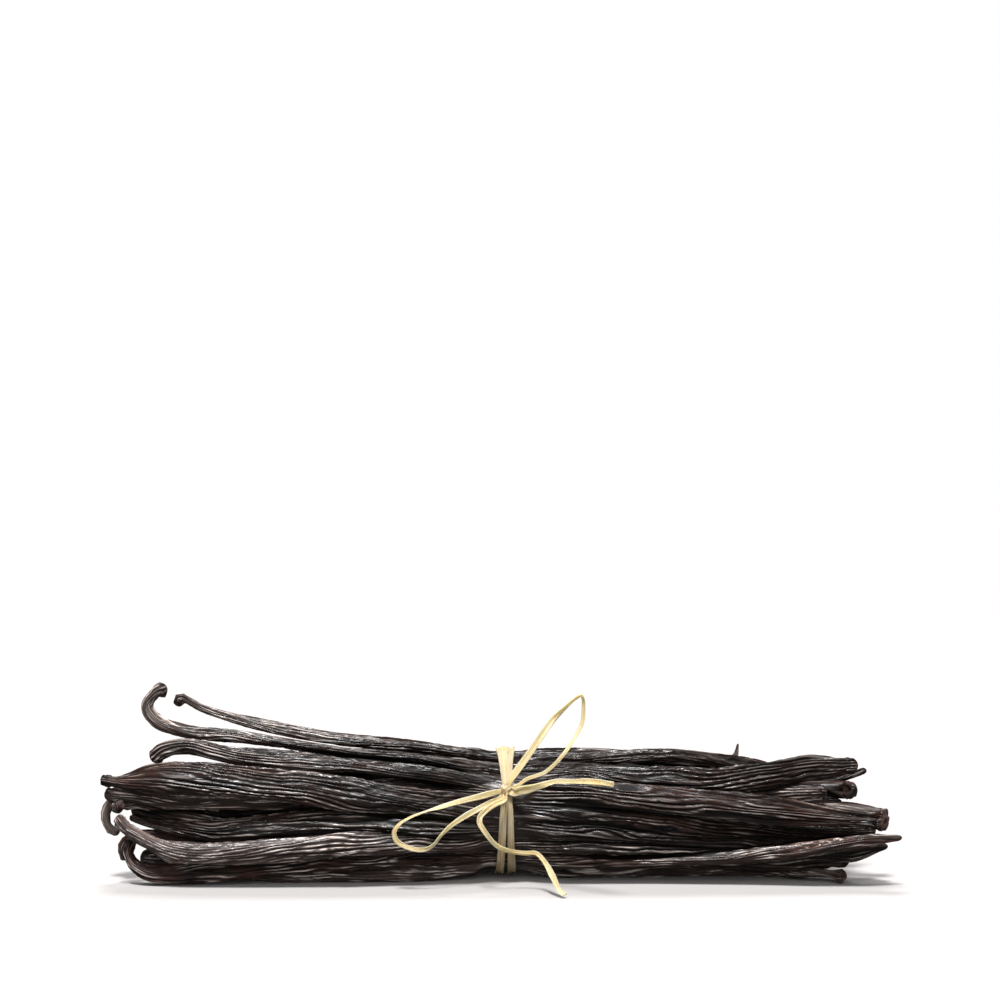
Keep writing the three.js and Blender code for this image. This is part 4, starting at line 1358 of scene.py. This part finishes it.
def streaks_group():
    """Node group: lengthwise streaks. Noise from 0 to 1 on a space whose third axis runs
    along the piece, shortened by Stretch so that each spot is drawn out."""
    name = "Lengthwise streaks"
    if name in bpy.data.node_groups:
        return bpy.data.node_groups[name]
    group = bpy.data.node_groups.new(name, "ShaderNodeTree")
    sockets = group.interface
    sockets.new_socket("Space", in_out="INPUT", socket_type="NodeSocketVector")
    for label, value in (("Width", 0.0005), ("Stretch", 10.0)):
        made = sockets.new_socket(label, in_out="INPUT", socket_type="NodeSocketFloat")
        made.default_value = value
    sockets.new_socket("Streaks", in_out="OUTPUT", socket_type="NodeSocketFloat")
    given = group.nodes.new("NodeGroupInput").outputs
    fine = add_math(group, "DIVIDE", 1.0, given["Width"])
    drawn_out = add_math(group, "DIVIDE", fine, given["Stretch"])
    scale = add_node(group, "ShaderNodeCombineXYZ", {0: fine, 1: fine, 2: drawn_out}).outputs[0]
    scaled = add_node(
        group, "ShaderNodeVectorMath", {0: given["Space"], 1: scale}, operation="MULTIPLY"
    )
    grain = add_node(
        group, "ShaderNodeTexNoise",
        {"Vector": scaled.outputs[0], "Scale": 1.0, "Detail": 3.0, "Roughness": 0.6},
    )
    add_node(group, "NodeGroupOutput", {"Streaks": grain.outputs["Fac"]})
    return group


def add_streaks(tree, space, width, stretch, low, high):
    """Streaks of a width in metres, drawn out by a stretch, from 0 where their noise is at
    low to 1 where it is at high."""
    sockets = {"Space": space, "Width": width, "Stretch": stretch}
    made = add_node(tree, "ShaderNodeGroup", sockets, node_tree=streaks_group())
    return ranged(tree, made.outputs["Streaks"], low, high)


def new_material(name):
    """A new material, its node tree and its shader."""
    material = bpy.data.materials.new(name)
    material.use_nodes = True
    tree = material.node_tree
    return material, tree, tree.nodes["Principled BSDF"]


def ranged(tree, value, low, high, to_low=0.0, to_high=1.0):
    """The value carried from the range low to high to the range to_low to to_high."""
    sockets = {0: value, 1: low, 2: high, 3: to_low, 4: to_high}
    return add_node(tree, "ShaderNodeMapRange", sockets).outputs[0]


def pod_skin_material(settings):
    """Cured pod skin: nearly black in the creases, dark brown on the ridges, paler where it
    is dry and redder where it is rusty, with an oily satin gloss on the ridges."""
    material, tree, shader = new_material("cured_skin")
    space = add_attribute(tree, "pod_space", "Vector")
    dryness_and_highlight_share = add_attribute(tree, "grey")
    crease_shade = opaque(settings.crease_shade_colour)
    patches = add_streaks(tree, space, width=0.0035, stretch=5.0, low=0.36, high=0.66)
    hairs = add_streaks(tree, space, width=0.0004, stretch=30.0, low=0.3, high=0.7)
    rust_patches = add_streaks(tree, space, width=0.005, stretch=3.0, low=0.4, high=0.62)
    grey = add_math(tree, "MULTIPLY", dryness_and_highlight_share, ranged(tree, patches, 0.0, 1.0, 0.3, 1.0))
    rust = add_math(tree, "MULTIPLY", add_attribute(tree, "rust"), rust_patches)

    ridge = add_mix(tree, grey, opaque(settings.skin_colour), opaque(settings.grey_colour))
    ridge = add_mix(tree, rust, ridge, opaque(settings.rust_colour))
    # Thin hairlines of the painted crease shade run along the ridges.
    ridge = add_mix(tree, ranged(tree, hairs, 0.0, 1.0, 0.45, 0.0), ridge, crease_shade)
    # Painted highlights on the crests, redder on rusty skin; the grey attribute sets both how dry
    # the skin is and how much of this painted highlight shows.
    crest_highlight_share = ranged(tree, dryness_and_highlight_share, -0.1, 0.4, 0.15, 0.9)
    painted_crest_highlight = add_math(tree, "MULTIPLY", add_attribute(tree, "crest_highlight"), crest_highlight_share)
    red_crest_highlight = [RED_CREST_HIGHLIGHT_BRIGHTNESS * value for value in settings.rust_colour]
    crest_highlight = add_mix(tree, rust, opaque(settings.crest_highlight_colour), opaque(red_crest_highlight))
    ridge = add_mix(tree, painted_crest_highlight, ridge, crest_highlight)
    # By the relief the valleys take the crease colour, dusty on dry pods: dust, and painted shade
    # in the creases.
    dusty = ranged(tree, dryness_and_highlight_share, 0.3, 1.2)
    crease = add_mix(tree, dusty, crease_shade, opaque(settings.dusty_colour))
    on_ridge = ranged(tree, add_attribute(tree, "relief"), 0.1, 0.9)
    colour = add_mix(tree, on_ridge, crease, ridge)
    colour = add_mix(tree, add_attribute(tree, "scar"), colour, opaque(settings.scar_colour))
    tree.links.new(colour, shader.inputs["Base Color"])

    gloss = ranged(tree, hairs, 0.0, 1.0, settings.roughness + 0.12, settings.roughness - 0.06)
    rough = add_node(
        tree, "ShaderNodeMix", {0: on_ridge, 2: CREASE_ROUGHNESS, 3: gloss}, data_type="FLOAT"
    )
    tree.links.new(rough.outputs[0], shader.inputs["Roughness"])
    shader.inputs["Specular IOR Level"].default_value = 0.38
    grain = add_streaks(tree, space, width=0.00032, stretch=22.0, low=0.0, high=1.0)
    grain = add_math(tree, "ABSOLUTE", add_math(tree, "SUBTRACT", grain, 0.5))
    add_bump(tree, grain, 1.0, shader)
    return material


def raffia_material(settings):
    """Dry straw: pale yellow with darker fibres along it, a soft sheen and a fibrous
    surface."""
    material, tree, shader = new_material("straw")
    space = add_attribute(tree, "straw_space", "Vector")
    fibres = add_streaks(tree, space, width=0.00024, stretch=40.0, low=0.4, high=0.66)
    bands = add_streaks(tree, space, width=0.0009, stretch=7.0, low=0.4, high=0.68)
    tanned = add_streaks(tree, space, width=0.004, stretch=2.0, low=0.5, high=0.66)
    straw = opaque(settings.straw_colour)
    colour = add_mix(tree, fibres, straw, opaque(settings.fibre_colour))
    colour = add_mix(tree, 0.75, straw, colour)
    shade = add_mix(tree, bands, WHITE, (0.82, 0.72, 0.52, 1))
    colour = add_mix(tree, 0.6, colour, shade, "MULTIPLY")
    warm = add_mix(tree, tanned, WHITE, (0.93, 0.72, 0.55, 1))
    colour = add_mix(tree, 0.7, colour, warm, "MULTIPLY")
    tree.links.new(colour, shader.inputs["Base Color"])
    for label, value in (
        ("Roughness", settings.roughness),
        ("Subsurface Weight", 0.85),
        ("Subsurface Radius", (0.75, 0.8, 0.65)),
        ("Subsurface Scale", 0.0016),
    ):
        shader.inputs[label].default_value = value
    add_bump(tree, fibres, 0.6, shader)
    return material


def floor_material(settings):
    """A plain pale matte floor, which throws less light back up than it shows."""
    material, tree, shader = new_material("pale_floor")
    space = add_node(tree, "ShaderNodeTexCoord").outputs["Object"]
    cloud = add_node(tree, "ShaderNodeTexNoise", {"Vector": space, "Scale": 3.0, "Detail": 2.0})
    plain, soft, dim = (
        opaque([value * share for value in settings.floor_colour])
        for share in (1.0, 0.985, settings.floor_bounce)
    )
    colour = add_mix(tree, cloud.outputs["Fac"], plain, soft)
    path = add_node(tree, "ShaderNodeLightPath")
    shown = add_mix(tree, path.outputs["Is Camera Ray"], dim, colour)
    tree.links.new(shown, shader.inputs["Base Color"])
    shader.inputs["Roughness"].default_value = 0.6
    return material


def pod_skin(context):
    """The pods' settings and their material, which is made the first time."""
    settings = context.scene.vanilla_pods
    return settings, bpy.data.materials.get("cured_skin") or pod_skin_material(settings)


def straw(context):
    """The raffia's settings and its material, which is made the first time."""
    settings = context.scene.vanilla_raffia
    return settings, bpy.data.materials.get("straw") or raffia_material(settings)


def make_straws(context, names, make, seed):
    """Makes each named piece of straw, with a seed of its own."""
    for number, name in enumerate(names):
        make(name, *straw(context), seed + STRAW_SEED_STEP * number)


def make_pods(context, pods, grid, seed):
    """Makes each of the pods, with a seed of its own."""
    tables = section_tables()
    for number, pod in enumerate(pods):
        pod_piece(pod, grid, *pod_skin(context), seed + POD_SEED_STEP * number, tables)


# ---------------------------------------------------------------- operators


class VANILLA_OT_stage(bpy.types.Operator):
    """Make the floor, the soft light and the camera"""

    bl_idname = "vanilla.stage"
    bl_label = "Stage"

    def execute(self, context):
        stage = context.scene.vanilla_stage
        self.make_camera(context, stage)
        self.make_floor(context, stage)
        self.make_lights(context, stage)
        self.make_room(context, stage)
        context.scene.view_settings.view_transform = "Standard"
        return {"FINISHED"}

    def make_camera(self, context, stage):
        camera = bpy.data.objects.new("camera", bpy.data.cameras.new("camera"))
        camera.data.lens = stage.focal_length
        camera.data.sensor_width = 36.0
        camera.data.clip_start = 0.01
        middle_x, middle_y, _ = CENTRING * MM
        camera.location = (middle_x, middle_y - stage.camera_distance, stage.camera_height)
        camera.rotation_euler = (np.pi / 2, 0.0, 0.0)
        context.scene.collection.objects.link(camera)
        context.scene.camera = camera

    def make_floor(self, context, stage):
        mesh = bpy.data.meshes.new("floor")
        signs = ((-1, -1), (1, -1), (1, 1), (-1, 1))
        corners = [(FLOOR_HALF_M * x, FLOOR_HALF_M * y, 0) for x, y in signs]
        mesh.from_pydata(corners, [], [(0, 1, 2, 3)])
        mesh.materials.append(floor_material(stage))
        floor = bpy.data.objects.new("floor", mesh)
        context.scene.collection.objects.link(floor)

    def make_lights(self, context, stage):
        # Each lamp's strength, how wide it is in the sky and how it is tilted, in degrees.
        # Only the key light glints in the skin.
        lamps = (
            ("key", stage.key_strength, 13, (21, -6, 0)),
            ("back", stage.back_strength, 18, (-30, -6, 0)),
            ("fill", stage.fill_strength, 60, (66, 8, 0)),
        )
        for name, strength, spread, tilt in lamps:
            light = bpy.data.lights.new(name, "SUN")
            light.energy = strength
            light.angle = np.radians(spread)
            lamp = bpy.data.objects.new(name, light)
            lamp.rotation_euler = np.radians(tilt)
            lamp.visible_glossy = name == "key"
            context.scene.collection.objects.link(lamp)

    def make_room(self, context, stage):
        world = bpy.data.worlds.new("studio")
        world.use_nodes = True
        tree = world.node_tree
        tree.nodes.clear()
        seen = add_node(tree, "ShaderNodeBackground", {"Color": WHITE, "Strength": 1.0})
        room = add_node(
            tree, "ShaderNodeBackground",
            {"Color": (1, 0.98, 0.97, 1), "Strength": stage.room_strength},
        )
        path = add_node(tree, "ShaderNodeLightPath")
        mixed = add_node(
            tree, "ShaderNodeMixShader",
            {0: path.outputs["Is Camera Ray"], 1: room.outputs[0], 2: seen.outputs[0]},
        )
        add_node(tree, "ShaderNodeOutputWorld", {"Surface": mixed.outputs[0]})
        context.scene.world = world


class VANILLA_OT_bow(bpy.types.Operator):
    """Make the bow's two loops and two tails"""

    bl_idname = "vanilla.bow"
    bl_label = "Bow"

    def execute(self, context):
        make_straws(context, STRAND_ROUTES, strand_piece, SEEDS["strands"])
        return {"FINISHED"}


class VANILLA_OT_tie(bpy.types.Operator):
    """Make the turns of straw round the bundle and their knot"""

    bl_idname = "vanilla.tie"
    bl_label = "Tie"

    def execute(self, context):
        make_straws(context, TIE_TURNS, turn_piece, SEEDS["turns"])
        make_straws(context, KNOT_WRAPS, wrap_piece, SEEDS["wraps"])
        return {"FINISHED"}


class VANILLA_OT_core(bpy.types.Operator):
    """Make the dark inside that the pods lie round"""

    bl_idname = "vanilla.core"
    bl_label = "Core"

    def execute(self, context):
        core_piece(*pod_skin(context), SEEDS["core"])
        return {"FINISHED"}


class VANILLA_OT_front_pods(bpy.types.Operator):
    """Make the pods that lie on top and at the front"""

    bl_idname = "vanilla.front_pods"
    bl_label = "Front pods"

    def execute(self, context):
        make_pods(context, PLACED_PODS, FRONT_GRID, SEEDS["front"])
        return {"FINISHED"}


class VANILLA_OT_inside_pods(bpy.types.Operator):
    """Make the pods whose ends look out from inside"""

    bl_idname = "vanilla.inside_pods"
    bl_label = "Inside pods"

    def execute(self, context):
        make_pods(context, INSIDE_PODS, INSIDE_GRID, SEEDS["inside"])
        return {"FINISHED"}


class VANILLA_OT_back_pods(bpy.types.Operator):
    """Make the pods that fill the back and the middle"""

    bl_idname = "vanilla.back_pods"
    bl_label = "Back pods"

    def execute(self, context):
        back, inner = ruled_pods()
        make_pods(context, back, BACK_GRID, SEEDS["back"])
        make_pods(context, inner, HIDDEN_GRID, SEEDS["hidden"])
        return {"FINISHED"}


class VANILLA_PT_panel(bpy.types.Panel):
    """Lists what builds the bundle, and its settings"""

    bl_idname = "VANILLA_PT_panel"
    bl_label = "Vanilla bundle"
    bl_space_type = "VIEW_3D"
    bl_region_type = "UI"
    bl_category = "Vanilla"

    def draw(self, context):
        for operator in OPERATORS:
            self.layout.operator(operator.bl_idname)
        for label, kind in SETTINGS.items():
            box = self.layout.box()
            for setting in kind.__annotations__:
                box.prop(getattr(context.scene, label), setting)


OPERATORS = (
    VANILLA_OT_stage,
    VANILLA_OT_bow,
    VANILLA_OT_tie,
    VANILLA_OT_core,
    VANILLA_OT_front_pods,
    VANILLA_OT_inside_pods,
    VANILLA_OT_back_pods,
)
SETTINGS = {
    "vanilla_pods": PodSettings,
    "vanilla_raffia": RaffiaSettings,
    "vanilla_stage": StageSettings,
}


def register():
    for made in (*SETTINGS.values(), *OPERATORS, VANILLA_PT_panel):
        bpy.utils.register_class(made)
    for label, made in SETTINGS.items():
        setattr(bpy.types.Scene, label, PointerProperty(type=made))


def unregister():
    for label in SETTINGS:
        delattr(bpy.types.Scene, label)
    for made in (VANILLA_PT_panel, *reversed(OPERATORS), *SETTINGS.values()):
        bpy.utils.unregister_class(made)


def main():
    register()
    bpy.ops.vanilla.stage()
    bpy.ops.vanilla.bow()
    bpy.ops.vanilla.tie()
    bpy.ops.vanilla.core()
    bpy.ops.vanilla.front_pods()
    bpy.ops.vanilla.inside_pods()
    bpy.ops.vanilla.back_pods()


if __name__ == "__main__":
    main()
